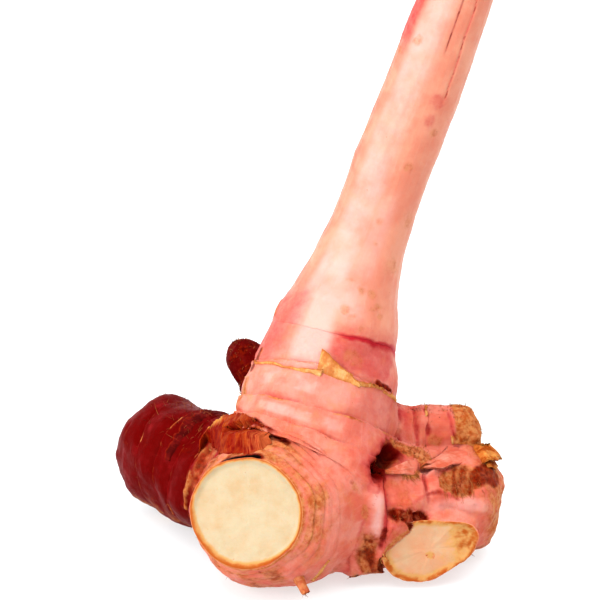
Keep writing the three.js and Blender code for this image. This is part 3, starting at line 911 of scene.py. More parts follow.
# Painted shade along each furrow
for furrow in FURROWS:
    stroke(furrow, ("red", 0.6, 0.1, 1.4, 0.6, 67), ("brown", 0.45, 0, 0.7, 0.6, 67))
blotch(torn, ("red", 0.8), ("tan", 0.6))
lay("brown", 0.9 * torn * smooth(speckle, -1, 0.1))
blotch(near(TORN, 2, 2, 2, 54) * (1 - torn) * skin, ("tan", 0.6))
blotch(near(TORN, 2.6, 2.6, 2, 54) * (1 - torn) * skin, ("red", 0.5))
stroke(TUFT, ("tan", 0.9, 1, 1.8, 1.2, 68))
stroke(SCAR_EDGE, ("tan", 0.8, 0.6, 1.4, 1, 90))
dirt = near(DIRT, 2.2, 2.6, 2.2, 80) * (1 - near(FORK, 1.6, 3, 1.5, 78))
blotch(dirt, ("tan", 0.75))
lay("brown", 0.55 * dirt * smooth(speckle, -0.05, 0.5))
blotch(fibrous, ("tan", 0.8))
lay("brown", fibrous * (0.4 + 0.35 * smooth(streaks, -0.4, 0.6)))
stroke(BRUISE, ("deep", 0.35, 2.4, 1.8, 1.4, 81), ("brown", 0.75, 2.4, 1.8, 1.4, 81))
# Painted highlight along the ridge
stroke(RIDGE, ("pale", 0.6, 0.3, 2.6, 0.8, 82))
# The band is pale pink, with a painted highlight along it
stroke(BAND, ("pale", 0.48, 0.4, 3.6, 1.2, 63))
lay("dry", np.maximum(np.maximum(torn, dirt), fibrous))
stroke(UNDER, ("tan", 0.75, 1.8, 4.5, 2.4, 83), ("red", 0.45, 2.5, 5, 2, 83))
lay("brown", 0.8 * near(UNDER, 1.6, 4, 2.4, 83) * smooth(speckle, -1, 0.3))
blotch(near(STREAK, 0.2, 1.4, 1.2, 93), ("tan", 0.55, -0.8, 0.2))
blotch(near(STREAK, 0, 0.7, 0.8, 93), ("brown", 0.3, -0.4, 0.4))
stroke(STREAK[:1], ("brown", 0.6, 0.3, 1.4, 0.8, 94))

# The thin finger and its fuzzy end
# The finger is coral red; the deeper red at its base is painted shade where it leaves the other
# limbs
blotch(on["finger"] * (0.3 + 0.4 * (1 - smooth(s, 15, 22))), ("red", 1, -1, 0.3))
blotch(on["finger"] * (1 - smooth(s, 14, 19)), ("deep", 0.5))
blotch(zone("finger", (25, 27, 30, 34)), ("tan", 0.6, -0.3, 0.4))
blotch(on["finger"] * known["groove"], ("brown", 0.75))
blotch(finger_end, ("tan", 0.9), ("dry", 1))

# The knob is deep red, darkened further as a painted shadow of the left stalk, which is not built;
# the bud is dark
dark = on["knob"] * smooth(s, 9, 20)
blotch(dark, ("red", 0.9), ("brown", 0.5, 0.25, 0.7))
lay("deep", dark * smooth(s, 14, 25) * np.clip(0.92 + 0.25 * patch, 0, 1))
blotch(near(TEAR, 0.6, 1.4, 1.2, 64), ("tan", 0.75, -0.5, 0.3))
blotch(on["knob"] * (1 - smooth(s, 19, 24)), ("tan", 0.6), ("brown", 0.7, -0.8, 0.2))
blotch(on["bud"], ("deep", 0.9), ("black", 0.35), ("dry", 0.5), ("brown", 0.85, -0.2, 0.3))

# Stubs, and the cut faces with their orange rims
blotch(on["stub"], ("tan", 0.7), ("dry", 0.7))
lay("brown", 0.8 * on["stub"] * smooth(s, 0.8, 1) * smooth(speckle, -0.1, 0.3))
paint.bare(smooth(cut, 0, 0.25))
scar = on["scarred"] * (cut > 0)
rim_place = cut + 0.5 * fractal(rest, 5, 84)
wide_rim = 1.7 + 1.4 * scar + 1.4 * span(angle, 20, 60, 150, 190)
broken = 1 - 0.4 * scar * smooth(speckle, -0.5, 0.5)
lay("cream", smooth(cut, 0, 0.3))
lay("rim", (cut > 0) * (1 - smooth(rim_place, 0.3, wide_rim)) * broken)
blotch((cut > 0) * (1 - smooth(rim_place, 0, 0.7)), ("brown", 0.65, -0.6, 0.6))
lay("rim", 0.95 * scar * near(SCAR_RIGHT, 1.5, 8.5, 2.5, 85) * (0.8 + 0.5 * speckle))
spot = scar * near(SCAR_SPOT, 0.9, 0.9, 0.9, 87)
lay("rim", spot * (0.75 + 0.4 * speckle))
lay("brown", 0.95 * spot * smooth(speckle, -0.6, 0.2))
lay("scar", scar * np.clip(0.75 + 0.5 * patch, 0, 1))
rhizome = painted("rhizome_skin", surface, paint)


# The stem: rolled leaf sheaths, whose edges show as rings on the cut top


def sheath_top(into, points):
    """The sheaths' edges stand up between narrow gaps."""
    deep = span(into, 0.9, 1.2, 1.6, 1.9) + span(into, 3.4, 3.7, 4.2, 4.5)
    fine = span(into, 2.4, 2.55, 2.7, 2.9) + span(into, 5.8, 6, 6.2, 6.5)
    fine = fine + span(into, 7.8, 8, 8.2, 8.4)
    return -0.8 * deep - 0.3 * fine + 0.12 * fractal(points, 2.2, 23) * smooth(into, 0, 0.6)


# The edges of a sheath run down from the top and end in a point: degrees at lengths
RIGHT_EDGE = ((171, 190, 207), (331, 328, 325))
LEFT_EDGE = ((186, 198, 207), (306, 304, 303))
# Small marks, each at a length and an angle
SPECKS = (
    (126.5, 304), (105, 296), (102, 324), (102, 310), (97, 326), (94, 300), (92, 306), (88, 318),
    (95, 340), (98, 334), (119.5, 310), (179, 224), (186.5, 258), (160, 338), (148, 316),
)
BLUSHES = ((170, 322), (162.5, 324))
SMUDGES = ((154, 218), (142.5, 214), (131, 352), (112, 346))

sheath = limb_object("trunk", 220, 0.6, end_cap=sheath_top, cap_count=44, start=SEAM)
stem_surface = Surface(joined([sheath]))
known, rest = stem_surface.values, stem_surface.points.copy()
turn, onward = stem_surface.turns()
s, cut = known["s"], known["cut"]
outside = (cut == 0) * (1 - smooth(s, trunk.length - 1, trunk.length))
to_right = np.radians(turn - np.interp(s, *RIGHT_EDGE)) * 12 + 0.25 * noise(rest, 4, 91)
to_left = np.radians(np.interp(s, *LEFT_EDGE) - turn) * 12 + 0.25 * noise(rest, 4, 92)
step, edge_line = 0.0, 0.0
for apart, first, full in ((to_right, 168, 174), (to_left, 184, 190)):
    there = smooth(s, first, full) * outside
    step = step + span(apart, -0.2, 0.15, 3, 9) * there
    edge_line = edge_line + np.exp(-((apart / 0.3) ** 2)) * there
cords = np.stack([11 * known["angle_cos"], 11 * known["angle_sin"], s / 22], -1)
margin = near(MARGIN, 0.3, 0.8, 0.5, 94)
push = 0.09 * noise(cords, 1.3, 93) * outside + 0.35 * step - 0.2 * edge_line + 0.35 * margin
push += side_push(s, turn) * outside - 0.1 * (1 - smooth(s, SEAM, SEAM + 0.6))
stem_surface.points += stem_surface.normals() * push[:, None]

paint = Paint((6, 95, 4), 96)
lay, blotch, stroke = paint.lay, paint.blotch, paint.stroke
patch, speckle = paint.patch, paint.speckle
flare = 1 - smooth(s, 92, 122)
# Painted highlight: a pale band down the left of the stem, stronger on the flare and drifting
# towards the middle lower down
lay("pale", span(turn, 232, 256, 280, 312) * (0.5 + 0.25 * patch))
lay("pale", flare * span(turn, 246, 268, 296, 340) * (0.65 + 0.3 * patch) * smooth(s, 83, 96))
lay("pale", 0.62 * flare * span(turn, 254, 268, 286, 302))
lay("pale", 0.4 * span(turn, 284, 298, 312, 334) * span(s, 100, 110, 130, 146))
blotch(span(turn, 185, 200, 218, 240), ("red", 0.3, -0.9, 0.4))
lay("red", 0.62 * span(turn, 160, 206, 234, 258) * smooth(s, 174, 188))
lay("red", 0.5 * flare * span(turn, 180, 208, 250, 272) * (1 - smooth(s, 90, 112)))
lay("red", 0.36 * (1 - smooth(s, 85, 95)) * (1 - span(turn, 244, 264, 285, 304)))
line = 1 - smooth(s + 0.8 * fractal(rest, 4, 97), SEAM, SEAM + 2.6)
lay("red", line * (0.12 + 0.88 * span(onward, 285, 312, 368, 385)))
lay("deep", 0.3 * line * span(onward, 316, 332, 356, 372))
for i, place in enumerate(SPECKS):
    size = 0.1 + 0.4 * ((i * 0.618) % 1)
    speck = ("tan", 0.5, size, 2, 1.6, 120 + i), ("brown", 0.25, 0.1, 0.7, 0.6, 140 + i)
    stroke(trail("trunk", place), *speck)
for place in BLUSHES:
    stroke(trail("trunk", place), ("red", 0.4, 1, 3, 1.5, 98))
for place in SMUDGES:
    stroke(trail("trunk", place), ("tan", 0.4, 1.5, 4, 2.5, 99))
lay("red", 0.5 * edge_line)
lay("brown", 0.75 * edge_line * smooth(speckle, -0.5, 0.3))
lay("tan", 0.8 * margin)
lay("brown", 0.7 * margin * smooth(speckle, -0.2, 0.3))
paint.bare(smooth(cut, 0, 0.25))
lay("cream", smooth(cut, 0.1, 0.6))
lay("scar", 0.8 * smooth(cut, 0, 1))
lay("rim", 0.7 * (span(cut, 0.8, 1.2, 1.6, 2) + span(cut, 3.3, 3.7, 4.2, 4.6)))
stem = painted("stem_skin", stem_surface, paint)


# Dry leaves, scraps and fibres

skin_tree = BVHTree.FromObject(rhizome, bpy.context.evaluated_depsgraph_get())


def off_skin(places, heights):
    """The places, with those lower over the root's skin than heights lifted to there."""
    flat = in_row_frame(places.reshape(-1, 3))
    found = [skin_tree.find_nearest(Vector(place)) for place in flat.tolist()]
    nearest = np.array([tuple(hit[0]) for hit in found]).reshape(places.shape) * 1000 + MIDDLE
    normal = np.array([tuple(hit[1]) for hit in found]).reshape(places.shape)
    above = np.sum((places - nearest) * normal, -1)
    lifted = nearest + normal * heights[..., None]
    return np.where((above < heights)[..., None], lifted, places), normal


def blurred(field, rounds):
    """A grid of vectors, each made more like its neighbours."""
    for _ in range(rounds):
        wide = np.pad(field, ((1, 1), (1, 1), (0, 0)), mode="edge")
        field = (wide[:-2, 1:-1] + wide[2:, 1:-1] + wide[1:-1, :-2] + wide[1:-1, 2:]) / 4
    return field


def closed_sheet(grid, heights, thick, across, along, fold):
    """A thin closed leaf. Its upper side is the grid, kept off the skin."""
    heights = np.broadcast_to(heights, grid.shape[:2])
    upper, outward = off_skin(grid, heights)
    for _ in range(2):
        upper[1:-1, 1:-1] = 0.5 * upper[1:-1, 1:-1] + 0.125 * (
            upper[:-2, 1:-1] + upper[2:, 1:-1] + upper[1:-1, :-2] + upper[1:-1, 2:]
        )
        upper = off_skin(upper, heights)[0]
    normal = unit(np.cross(np.gradient(upper, axis=0), np.gradient(upper, axis=1)) + 1e-9)
    normal = normal * np.sign(np.sum(normal * outward, -1).mean() + 1e-9)
    lower = upper - normal * thick
    for layer, least in ((upper, 0.2), (lower, 0.1)):
        layer[..., 2] = np.maximum(layer[..., 2], least)
    ring = np.concatenate([upper, lower[::-1]]).transpose(1, 0, 2)
    edge = np.linspace(0, 1, len(grid))[:, None]
    values = {"edge": edge, "around": across, "along": along, "fold": fold}
    for key, value in values.items():
        value = np.broadcast_to(value, grid.shape[:2])
        values[key] = np.concatenate([value, value[::-1]]).T
    return loft(ring, values)


def torn_edges(run, seed, coarse, fine):
    """How far a leaf's two edges stray at each length of its run, from -1 to 1."""
    line = np.stack([run, np.full(len(run), seed * 3.7), np.zeros(len(run))], -1)
    return [
        0.6 * noise(line, coarse, seed + salt) + 0.4 * noise(line, fine, seed + salt + 1)
        for salt in (100, 200)
    ]


def folded(run, along, seed, size, small):
    """How high a leaf's folds stand at each place, and the same with small creases on them."""
    place = np.stack(np.broadcast_arrays(run, along, 3.1 * seed), -1)
    fold = 1 - 2 * np.abs(noise(place, size, seed + 300))
    return fold, fold + 0.5 * noise(place, small, seed + 301)


def leaf_sheet(limb, degrees, near, far, seed, lift, spread, crumple, rag, thick, rows):
    """A torn leaf lying on a limb.

    Near and far are its two edges as lengths along the limb at evenly spaced angles, and rag is
    how torn each of them is. Lift is its height over the skin at the near edge, in the middle and
    at the far edge. Spread lifts its ends.
    """
    reach = float(limb.at(np.array(limb.length * 0.5))[4])
    across = math.radians(abs(degrees[1] - degrees[0])) * reach
    share = np.linspace(0, 1, max(8, int(across / LEAF_STEP)))
    turn = np.radians(degrees[0] + (degrees[1] - degrees[0]) * share)
    run = share * across
    low, high = (
        np.interp(share, np.linspace(0, 1, len(lengths)), lengths) + size * jags
        for lengths, size, jags in zip((near, far), rag, torn_edges(run, seed, 2.6, 0.9))
    )
    high = np.maximum(high, low + 0.3)
    v = np.linspace(0, 1, rows)[:, None]
    along = low + (high - low) * v
    fold, folds = folded(run, 0.25 * along, seed, 3.2, 1.2)
    loose = smooth(v, 0.05, 0.4)
    height = np.interp(v, [0, 0.3, 1], lift) + spread * np.abs(2 * share - 1) ** 4
    height = height + crumple * loose * folds
    grid = limb.skin(along, turn[None, :], height, plain=True)[0]
    return closed_sheet(grid, height - 0.3, thick, run, along, fold * loose)


def draped_sheet(near, far, seed, lift, crumple, rag, thick, rows, outward=None):
    """A torn leaf that spans from one line of points to another, lying on what is between.

    It is lifted along outward, or off the skin below it.
    """
    lines = [spline([(*place, 0) for place in line])[0][:, :3] for line in (near, far)]
    travels = [
        np.concatenate([[0], np.cumsum(np.linalg.norm(np.diff(line, axis=0), axis=1))])
        for line in lines
    ]
    across = max(travel[-1] for travel in travels)
    share = np.linspace(0, 1, int(across / LEAF_STEP))
    run = share * across

    def sampled(line, travel):
        travel = travel + 1e-6 * np.arange(len(line))
        return np.stack([np.interp(share * travel[-1], travel, line[:, i]) for i in range(3)], -1)

    low, high = (sampled(line, travel) for line, travel in zip(lines, travels))
    span_length = np.maximum(1.0, np.linalg.norm(high - low, axis=1))
    low_jags, high_jags = torn_edges(run, seed, 3.0, 1.0)
    start, stop = rag[0] * low_jags / span_length, 1 + rag[1] * high_jags / span_length
    v = np.linspace(0, 1, rows)[:, None]
    reach = start + (stop - start) * v
    grid = low + (high - low) * reach[..., None]
    along = reach * span_length
    fold, folds = folded(run, 0.4 * along, seed, 4.0, 1.4)
    height = np.interp(v, [0, 0.5, 1], lift) + crumple * smooth(v, 0, 0.3) * folds
    if outward is None:
        outward = unit(blurred(off_skin(grid, np.zeros(grid.shape[:2]))[1], 30))
    grid = grid + np.asarray(outward) * height[..., None]
    return closed_sheet(grid, np.minimum(height, 0.15), thick, run, along, fold)


def merged(name, sheets):
    """One smooth object made of several sheets."""
    places, groups, values = zip(*sheets)
    starts = np.cumsum([0, *map(len, places[:-1])])
    faces = [
        np.concatenate([group[kind] + start for group, start in zip(groups, starts)])
        for kind in range(2)
    ]
    values = {key: np.concatenate([value[key] for value in values]) for key in values[0]}
    return smooth_object(name, make_mesh(name, in_row_frame(np.concatenate(places)), faces, values))


FRONT_LOW = (
    trail("knob", (23.5, 316), (22, 330))
    + trail("trunk", (7.5, 226), (4, 246), (2.5, 262), (8, 272))
)
FRONT_HIGH = [(-39, 1.1, 37.2), (-36.2, -1.2, 41.8), (-32.6, -5.6, 46.6), (-28, -12.2, 50.4),
              (-23.8, -19.4, 52.8), (-20, -25, 52.8)]
FRONT_OUT = (-0.25, -0.6, 0.76)
FORK_FLAPS = (
    (trail("lump", (28, 8), (27.5, 20), (24, 36)),
     trail("lump", (13.4, 36.4), (13.1, 37), (13.4, 37.6)),
     5, (-0.6, 1.7, 1.8), 0.22, (0.8, 0.1), 0.45, 28),
    (trail("lump", (43, 344), (47.5, 352), (49, 4), (45.5, 20)),
     trail("lump", (25.6, 31), (25, 33), (25.6, 35)),
     6, (-0.7, 1.3, 1.8), 0.26, (1.0, 0.2), 0.5, 34),
)
RING_LEAVES = (
    ((228, 292), (66.6, 65.9, 65.3, 65.2), (67.8, 67.2, 66.4, 67.4), 23,
     (-0.5, 0.6, 0.8), 0, 0.15, (0.7, 1.1), 0.2, 10),
    ((288, 322), (65, 65.2, 65.6, 66), (75.5, 72.6, 69.6, 67.6), 24,
     (-0.4, 0.6, 0.9), 0, 0.2, (0.4, 0.9), 0.25, 20),
    ((318, 346), (66, 67, 68.2, 69), (67.6, 68.4, 69.4, 70), 25,
     (-0.5, 0.6, 0.9), 0, 0.15, (0.4, 0.6), 0.22, 12),
)
TIP_FLAKES = (
    ((-9, 23), (49, 48.8, 49, 49.6), (53, 55.4, 55.6, 54), 31,
     (-0.4, 2.3, 3.7), 0, 0.2, (0.3, 0.1), 0.4, 22),
    ((-6, 28), (51, 50.6, 51), (53.6, 55.4, 54), 32,
     (-0.4, 0.8, 1.1), 0, 0.2, (0.3, 0.15), 0.3, 16),
)
KNOB_LEAF = ((-62, 104), (35, 34.5, 34, 34.2, 34.8, 35.4), (37.5, 39, 40.4, 39.6, 40, 37.4), 43,
             (-0.4, 0.4, 0.6), 0.2, 0.16, (0.5, 1.5), 0.22, 16)
front_scale = merged("front_scale_torn", [
    draped_sheet(FRONT_LOW, FRONT_HIGH, 11, (0.2, 2.9, 0.9), 0.75, (1.4, 0.9), 0.4, 48, FRONT_OUT),
])
ring_scale = merged("ring_scale_torn", [leaf_sheet(trunk, *leaf) for leaf in RING_LEAVES])
fork_scale = merged("fork_scale_torn", [draped_sheet(*flap) for flap in FORK_FLAPS])
tip_scale = merged("tip_scale_torn", [leaf_sheet(lump, *flake) for flake in TIP_FLAKES])
knob_scale = merged("knob_scale_torn", [leaf_sheet(knob, *KNOB_LEAF)])

# Scraps of dry leaf left on the rings
picker = np.random.RandomState(7)
scrap_sheets = []
for name, limb in LIMBS.items():
    for ring in limb.rings:
        if name == "knob" or name == "trunk" and ring < 13:
            continue
        for _ in range(3):
            start, wide = picker.uniform(0, 360), picker.uniform(8, 26)
            reach = picker.uniform(0.1, 0.9)
            if name == "trunk" and 235 < start < 345:
                continue
            low, high = (ring - 0.9, ring - 1.1, ring - 0.8), (ring - 0.2, ring + reach, ring)
            number = 400 + len(scrap_sheets)
            scrap_sheets.append(
                leaf_sheet(limb, (start, start + wide), low, high, number,
                           (-0.4, 0.5, 0.7), 0, 0.12, (0.3, 0.8), 0.2, 6)
            )
scraps = merged("ring_scraps", scrap_sheets)


def fibres(name, roots, directions, lengths, radii, tones, curl, seed):
    """Thin tapered hairs, each from its root along its direction, as one object."""
    count, knots, sides, droop = len(roots), 6, 4, 0.25
    picker = np.random.RandomState(seed)
    t = np.linspace(0, 1, knots)[None, :, None]
    bend = picker.normal(size=(count, 1, 3)) * curl[:, None, None]
    reach = lengths[:, None, None]
    paths = roots[:, None] + directions[:, None] * reach * t + bend * reach * t * t
    paths[..., 2] -= droop * (reach * t * t)[..., 0]
    paths[..., 2] = np.maximum(paths[..., 2], 0.15)
    tangents = unit(np.gradient(paths, axis=1) + 1e-9)
    side = unit(np.cross(tangents, unit(picker.normal(size=(count, 1, 3)))))
    other = np.cross(tangents, side)
    turn = np.linspace(0, 2 * np.pi, sides, endpoint=False)
    ring = side[:, :, None] * np.cos(turn)[:, None] + other[:, :, None] * np.sin(turn)[:, None]
    width = radii[:, None] * (1 - 0.75 * t[..., 0]) * picker.uniform(0.6, 1.3, (count, 1))
    places = (paths[:, :, None] + ring * width[:, :, None, None]).reshape(-1, 3)
    around = np.arange(sides)
    caps = np.stack([around[::-1], (knots - 1) * sides + around])
    first = (np.arange(count) * knots * sides)[:, None, None]
    faces = [(first + group).reshape(-1, 4) for group in (tube_faces(knots, sides), caps)]
    values = {"tone": np.repeat(tones, knots * sides)}
    return smooth_object(name, make_mesh(name, in_row_frame(places), faces, values))


def sprout(chance, amount, seed):
    """Picks points of the rhizome's skin, likelier where chance is high."""
    picker = np.random.RandomState(seed)
    chance = (chance + 1e-9) * (points[:, 2] > 0.5)
    return picker.choice(len(points), size=amount, replace=False, p=chance / chance.sum())


known, s = surface.values, surface.values["s"]
upward, steep = np.maximum(0, normals[:, 2] - 0.6), np.maximum(0, normals[:, 2] - 0.75)
# Where hairs grow, how many, the shortest and longest, their radius, how far they hang down, and
# how pale the darkest of them is
HAIRS = (
    (zone("finger", (14, 17, 40, 43)) * steep, 130, 0.5, 1.7, 0.09, 0, 0),
    (finger_end, 260, 0.4, 1.3, 0.08, 0, 0.3),
    (zone("knob", (30, 36, 62, 70)) * upward, 110, 0.8, 3.0, 0.1, 0, 0.1),
    (zone("knob", (29, 32, 38, 42)) * upward, 60, 1.0, 3.2, 0.06, 0.8, 0.6),
    (on["bud"] * smooth(s, 10, 16), 320, 0.3, 1.3, 0.1, 0, 0),
    (dirt + torn, 150, 0.5, 1.8, 0.09, 0.3, 0.2),
    (fibrous, 100, 2.0, 4.0, 0.09, 0.95, 0.45),
    (near_path(points, TUFT, 0.8, 1.2), 45, 1.0, 2.6, 0.13, 0.8, 0.7),
    (known["lip"] * fresh, 200, 0.4, 1.4, 0.07, 0.2, 0.2),
    (on["stub"] * smooth(s, 0.9, 1.0), 90, 0.4, 1.4, 0.08, 0, 0.2),
)
hair = []
for seed, (chance, amount, shortest, longest, thickness, hang, palest) in enumerate(HAIRS):
    chosen = sprout(chance, amount, seed)
    picker = np.random.RandomState(50 + seed)
    up = normals[chosen]
    lean = (1 - hang) * (up + 0.55 * picker.normal(size=(amount, 3)))
    down = up * up[:, 2:] - (0, 0, 1)
    lean = unit(lean + hang * (down + 0.12 * up + 0.12 * picker.normal(size=(amount, 3))))
    reach, radius = picker.uniform(shortest, longest, amount), np.full(amount, thickness)
    tones, curl = picker.uniform(palest, 1, amount), np.full(amount, 0.35 - 0.25 * hang)
    hair.append((points[chosen] - 0.2 * up, lean, reach, radius, tones, curl))
hairs = fibres("root_hairs", *(np.concatenate(group) for group in zip(*hair)), 77)


# Materials

LIGHT = 1.55  # how much more light falls on the root than turns white paper just white
GLOSS = 0.02  # what the skin's gloss adds to each tone


def colour(*tone):
    """A tone as the photo shows it, 0 to 255, as the surface colour that gives it in the light."""
    def linear(value):
        value = value / 255
        value = value / 12.92 if value <= 0.04045 else ((value + 0.055) / 1.055) ** 2.4
        return max(0.001, value - GLOSS) / LIGHT
    return (*map(linear, tone), 1)


class Look:
    """A material made of nodes. Each method adds a node and gives back what comes out of it."""

    def __init__(self, name, **shader):
        self.material = bpy.data.materials.new(name)
        self.material.use_nodes = True
        self.tree = self.material.node_tree
        self.tree.nodes.clear()
        self.shader = self.add("ShaderNodeBsdfPrincipled")
        out = self.add("ShaderNodeOutputMaterial")
        self.tree.links.new(self.shader.outputs[0], out.inputs[0])
        self.place = self.add("ShaderNodeTexCoord").outputs["Object"]
        for key, value in shader.items():
            self.feed(self.shader.inputs[key.replace("_", " ")], value)

    def add(self, kind, **settings):
        node = self.tree.nodes.new(kind)
        for key, value in settings.items():
            setattr(node, key, value)
        return node

    def feed(self, socket, value):
        if isinstance(value, bpy.types.NodeSocket):
            self.tree.links.new(value, socket)
        else:
            socket.default_value = value

    def mask(self, name, output="Fac"):
        return self.add("ShaderNodeAttribute", attribute_name=name).outputs[output]

    def stretch(self, place, *scale):
        node = self.add("ShaderNodeMapping")
        self.feed(node.inputs["Vector"], place)
        node.inputs["Scale"].default_value = scale
        return node.outputs["Vector"]

    def noise(self, size, detail=3.0, place=None, harsh=0.55):
        """Noise whose bumps are about size millimetres across."""
        node = self.add("ShaderNodeTexNoise")
        node.inputs["Roughness"].default_value = harsh
        self.feed(node.inputs["Vector"], place or self.place)
        node.inputs["Scale"].default_value = 1000 / size
        node.inputs["Detail"].default_value = detail
        return node.outputs["Fac"]

    def spots(self, size):
        node = self.add("ShaderNodeTexVoronoi")
        self.feed(node.inputs["Vector"], self.place)
        node.inputs["Scale"].default_value = 1000 / size
        return node.outputs["Distance"]

    def sum(self, first, second, operation="ADD"):
        node = self.add("ShaderNodeMath", operation=operation)
        self.feed(node.inputs[0], first)
        self.feed(node.inputs[1], second)
        return node.outputs[0]

    def times(self, first, second):
        return self.sum(first, second, "MULTIPLY")

    def ranged(self, value, low, high, to_low=0.0, to_high=1.0):
        node = self.add("ShaderNodeMapRange", interpolation_type="SMOOTHSTEP")
        for i, item in enumerate((value, low, high, to_low, to_high)):
            self.feed(node.inputs[i], item)
        return node.outputs[0]

    def mix(self, share, first, second):
        node = self.add("ShaderNodeMix", data_type="RGBA")
        self.feed(node.inputs[0], share)
        self.feed(node.inputs[6], first)
        self.feed(node.inputs[7], second)
        return node.outputs[2]

    def over(self, base, tone, *share):
        """The base with the tone over it, as far as the ranged share says."""
        return self.mix(self.ranged(*share), base, tone)

    def finish(self, base, roughness, height, bump=0.3, distance=0.0003):
        node = self.add("ShaderNodeBump")
        node.inputs["Strength"].default_value = bump
        node.inputs["Distance"].default_value = distance
        self.feed(node.inputs["Height"], height)
        self.feed(self.shader.inputs["Base Color"], base)
        self.feed(self.shader.inputs["Roughness"], roughness)
        self.feed(self.shader.inputs["Normal"], node.outputs[0])
        return self.material


PINK = colour(247, 168, 150)
CORAL = colour(240, 140, 118)
AMBER = colour(241, 156, 108)
PALE = colour(252, 210, 202)
RED = colour(216, 72, 82)
DEEP = colour(130, 6, 6)
TAN = colour(226, 162, 110)
RUST = colour(198, 114, 68)
BROWN = colour(158, 60, 26)
DARK = colour(112, 28, 10)
BLACK = colour(44, 8, 4)
CREAM = colour(224, 206, 176)
WARM_CREAM = colour(222, 194, 158)
SCAR = colour(234, 180, 146)
RIM = colour(200, 118, 66)
RIM_INNER = colour(230, 180, 124)
PEACH = colour(250, 180, 154)
SALMON = colour(244, 162, 138)


def skin_look(name, light, main, warm, lines_amount, bump, gloss):
    """Fresh skin with its painted tones: light and main by turns, with some of warm."""
    look = Look(
        name, Subsurface_Weight=0.2, Subsurface_Scale=0.002, Subsurface_Radius=(1.0, 0.35, 0.2),
        Specular_IOR_Level=gloss, Specular_Tint=(1.0, 0.5, 0.44, 1.0),
    )
    broad, middle, fine = look.noise(8, 5), look.noise(2.2, 8, harsh=0.68), look.noise(0.5, 4)
    ragged = look.sum(middle, -0.5)
    grain = look.mask("grain", "Vector")
    lines = look.noise(0.55, 4, look.stretch(grain, 0.14, 0.14, 1))
    streaks = look.noise(0.8, 4, look.stretch(grain, 1, 1, 0.1))
    base = look.over(light, main, broad, 0.35, 0.65)
    base = look.over(base, warm, look.noise(5, 6), 0.48, 0.75, 0, 0.5)
    base = look.over(base, PALE, streaks, 0.5, 0.85, 0, 0.18)
    base = look.over(base, RED, lines, 0.55, 0.8, 0, lines_amount)
    dry = look.over(TAN, RUST, look.noise(1.8, 8, harsh=0.7), 0.4, 0.62)
    torn = look.over(BROWN, DARK, look.noise(1.2, 6, harsh=0.7), 0.42, 0.6)
    # Each painted tone comes in from one amount to another, with a ragged edge
    for mask, tone, low, high, raggedness in (
        ("pale", PALE, 0, 1, 0.3),
        ("red", RED, 0, 1, 0.5),
        ("deep", DEEP, 0, 0.95, 0.5),
        ("tan", dry, 0.1, 1, 0.8),
        ("brown", torn, 0.15, 1, 0.7),
        ("black", BLACK, 0.2, 0.8, 0.5),
    ):
        amount = look.sum(look.mask(mask), look.times(ragged, raggedness))
        base = look.over(base, tone, amount, low, high)
    flesh = look.over(CREAM, WARM_CREAM, look.noise(6, 6), 0.35, 0.75)
    flesh = look.mix(look.mask("scar"), flesh, SCAR)
    flesh = look.over(flesh, RIM_INNER, look.noise(0.7, 3), 0.62, 0.72, 0, 0.25)
    rim = look.sum(look.mask("rim"), look.times(ragged, 0.5))
    flesh = look.over(flesh, RIM_INNER, rim, 0.05, 0.5)
    flesh = look.over(flesh, RIM, rim, 0.45, 1)
    cream = look.times(look.mask("cream"), look.ranged(look.mask("brown"), 0.2, 0.6, 1, 0))
    base = look.mix(cream, base, flesh)
    pits = look.ranged(look.spots(2.4), 0.04, 0.1, 1, 0)
    pits = look.times(pits, look.ranged(look.noise(3.1, 2), 0.56, 0.62))
    base = look.mix(look.times(pits, 0.5), base, RUST)
    rough = look.sum(look.times(look.mask("dry"), 0.35), look.ranged(middle, 0.3, 0.7, 0.34, 0.48))
    lengthwise = look.sum(lines, look.times(streaks, 0.6))
    lengthwise = look.times(lengthwise, look.sum(1.0, look.mask("cream"), "SUBTRACT"))
    height = look.sum(look.sum(fine, look.times(middle, 1.5)), lengthwise)
    return look.finish(base, rough, height, bump, 0.0002)


def leaf_look(name, bright, main, dark, border, veined=0.9, bump=0.5, rim=(0.8, 1000), foot=None,
              end=None):
    """A dry leaf. Its far edge has a tone of its own from a share of the way up, as far as a length
    round it. Its foot may have one too, and so may what lies beyond a length round it: end.
    """
    look = Look(name, Subsurface_Weight=0.12, Subsurface_Scale=0.001, Specular_IOR_Level=0.1)
    lengthwise = look.add("ShaderNodeCombineXYZ")
    look.feed(lengthwise.inputs[0], look.times(look.mask("around"), 0.001))
    look.feed(lengthwise.inputs[1], look.times(look.mask("along"), 0.00012))
    veins, blot = look.noise(0.5, 5, lengthwise.outputs[0]), look.noise(3, 6)
    ragged = look.sum(veins, -0.5)
    base = look.over(main, dark, blot, 0.4, 0.62)
    # Bright along the veins, with a painted highlight on the crests of the folds
    lit = look.sum(look.ranged(veins, 0.45, 0.7), look.ranged(look.mask("fold"), 0.2, 0.9, 0, 0.6))
    base = look.mix(look.times(lit, look.ranged(blot, 0.3, 0.6, veined, 0.2)), base, bright)
    upper = look.sum(look.mask("edge"), look.times(ragged, 0.5))
    upper = look.ranged(upper, rim[0], 0.98, 0, 0.8)
    upper = look.times(upper, look.ranged(look.mask("around"), rim[1], rim[1] + 6, 1, 0.1))
    base = look.mix(upper, base, border)
    if foot:
        base = look.over(base, foot, look.mask("edge"), 0.05, 0.5, 0.9, 0)
    if end:
        beyond = look.sum(look.mask("around"), look.times(ragged, 22))
        base = look.over(base, end[1], beyond, end[0] - 5, end[0] + 7, 0, 0.7)
    return look.finish(base, look.ranged(blot, 0.3, 0.7, 0.5, 0.75), veins, bump)


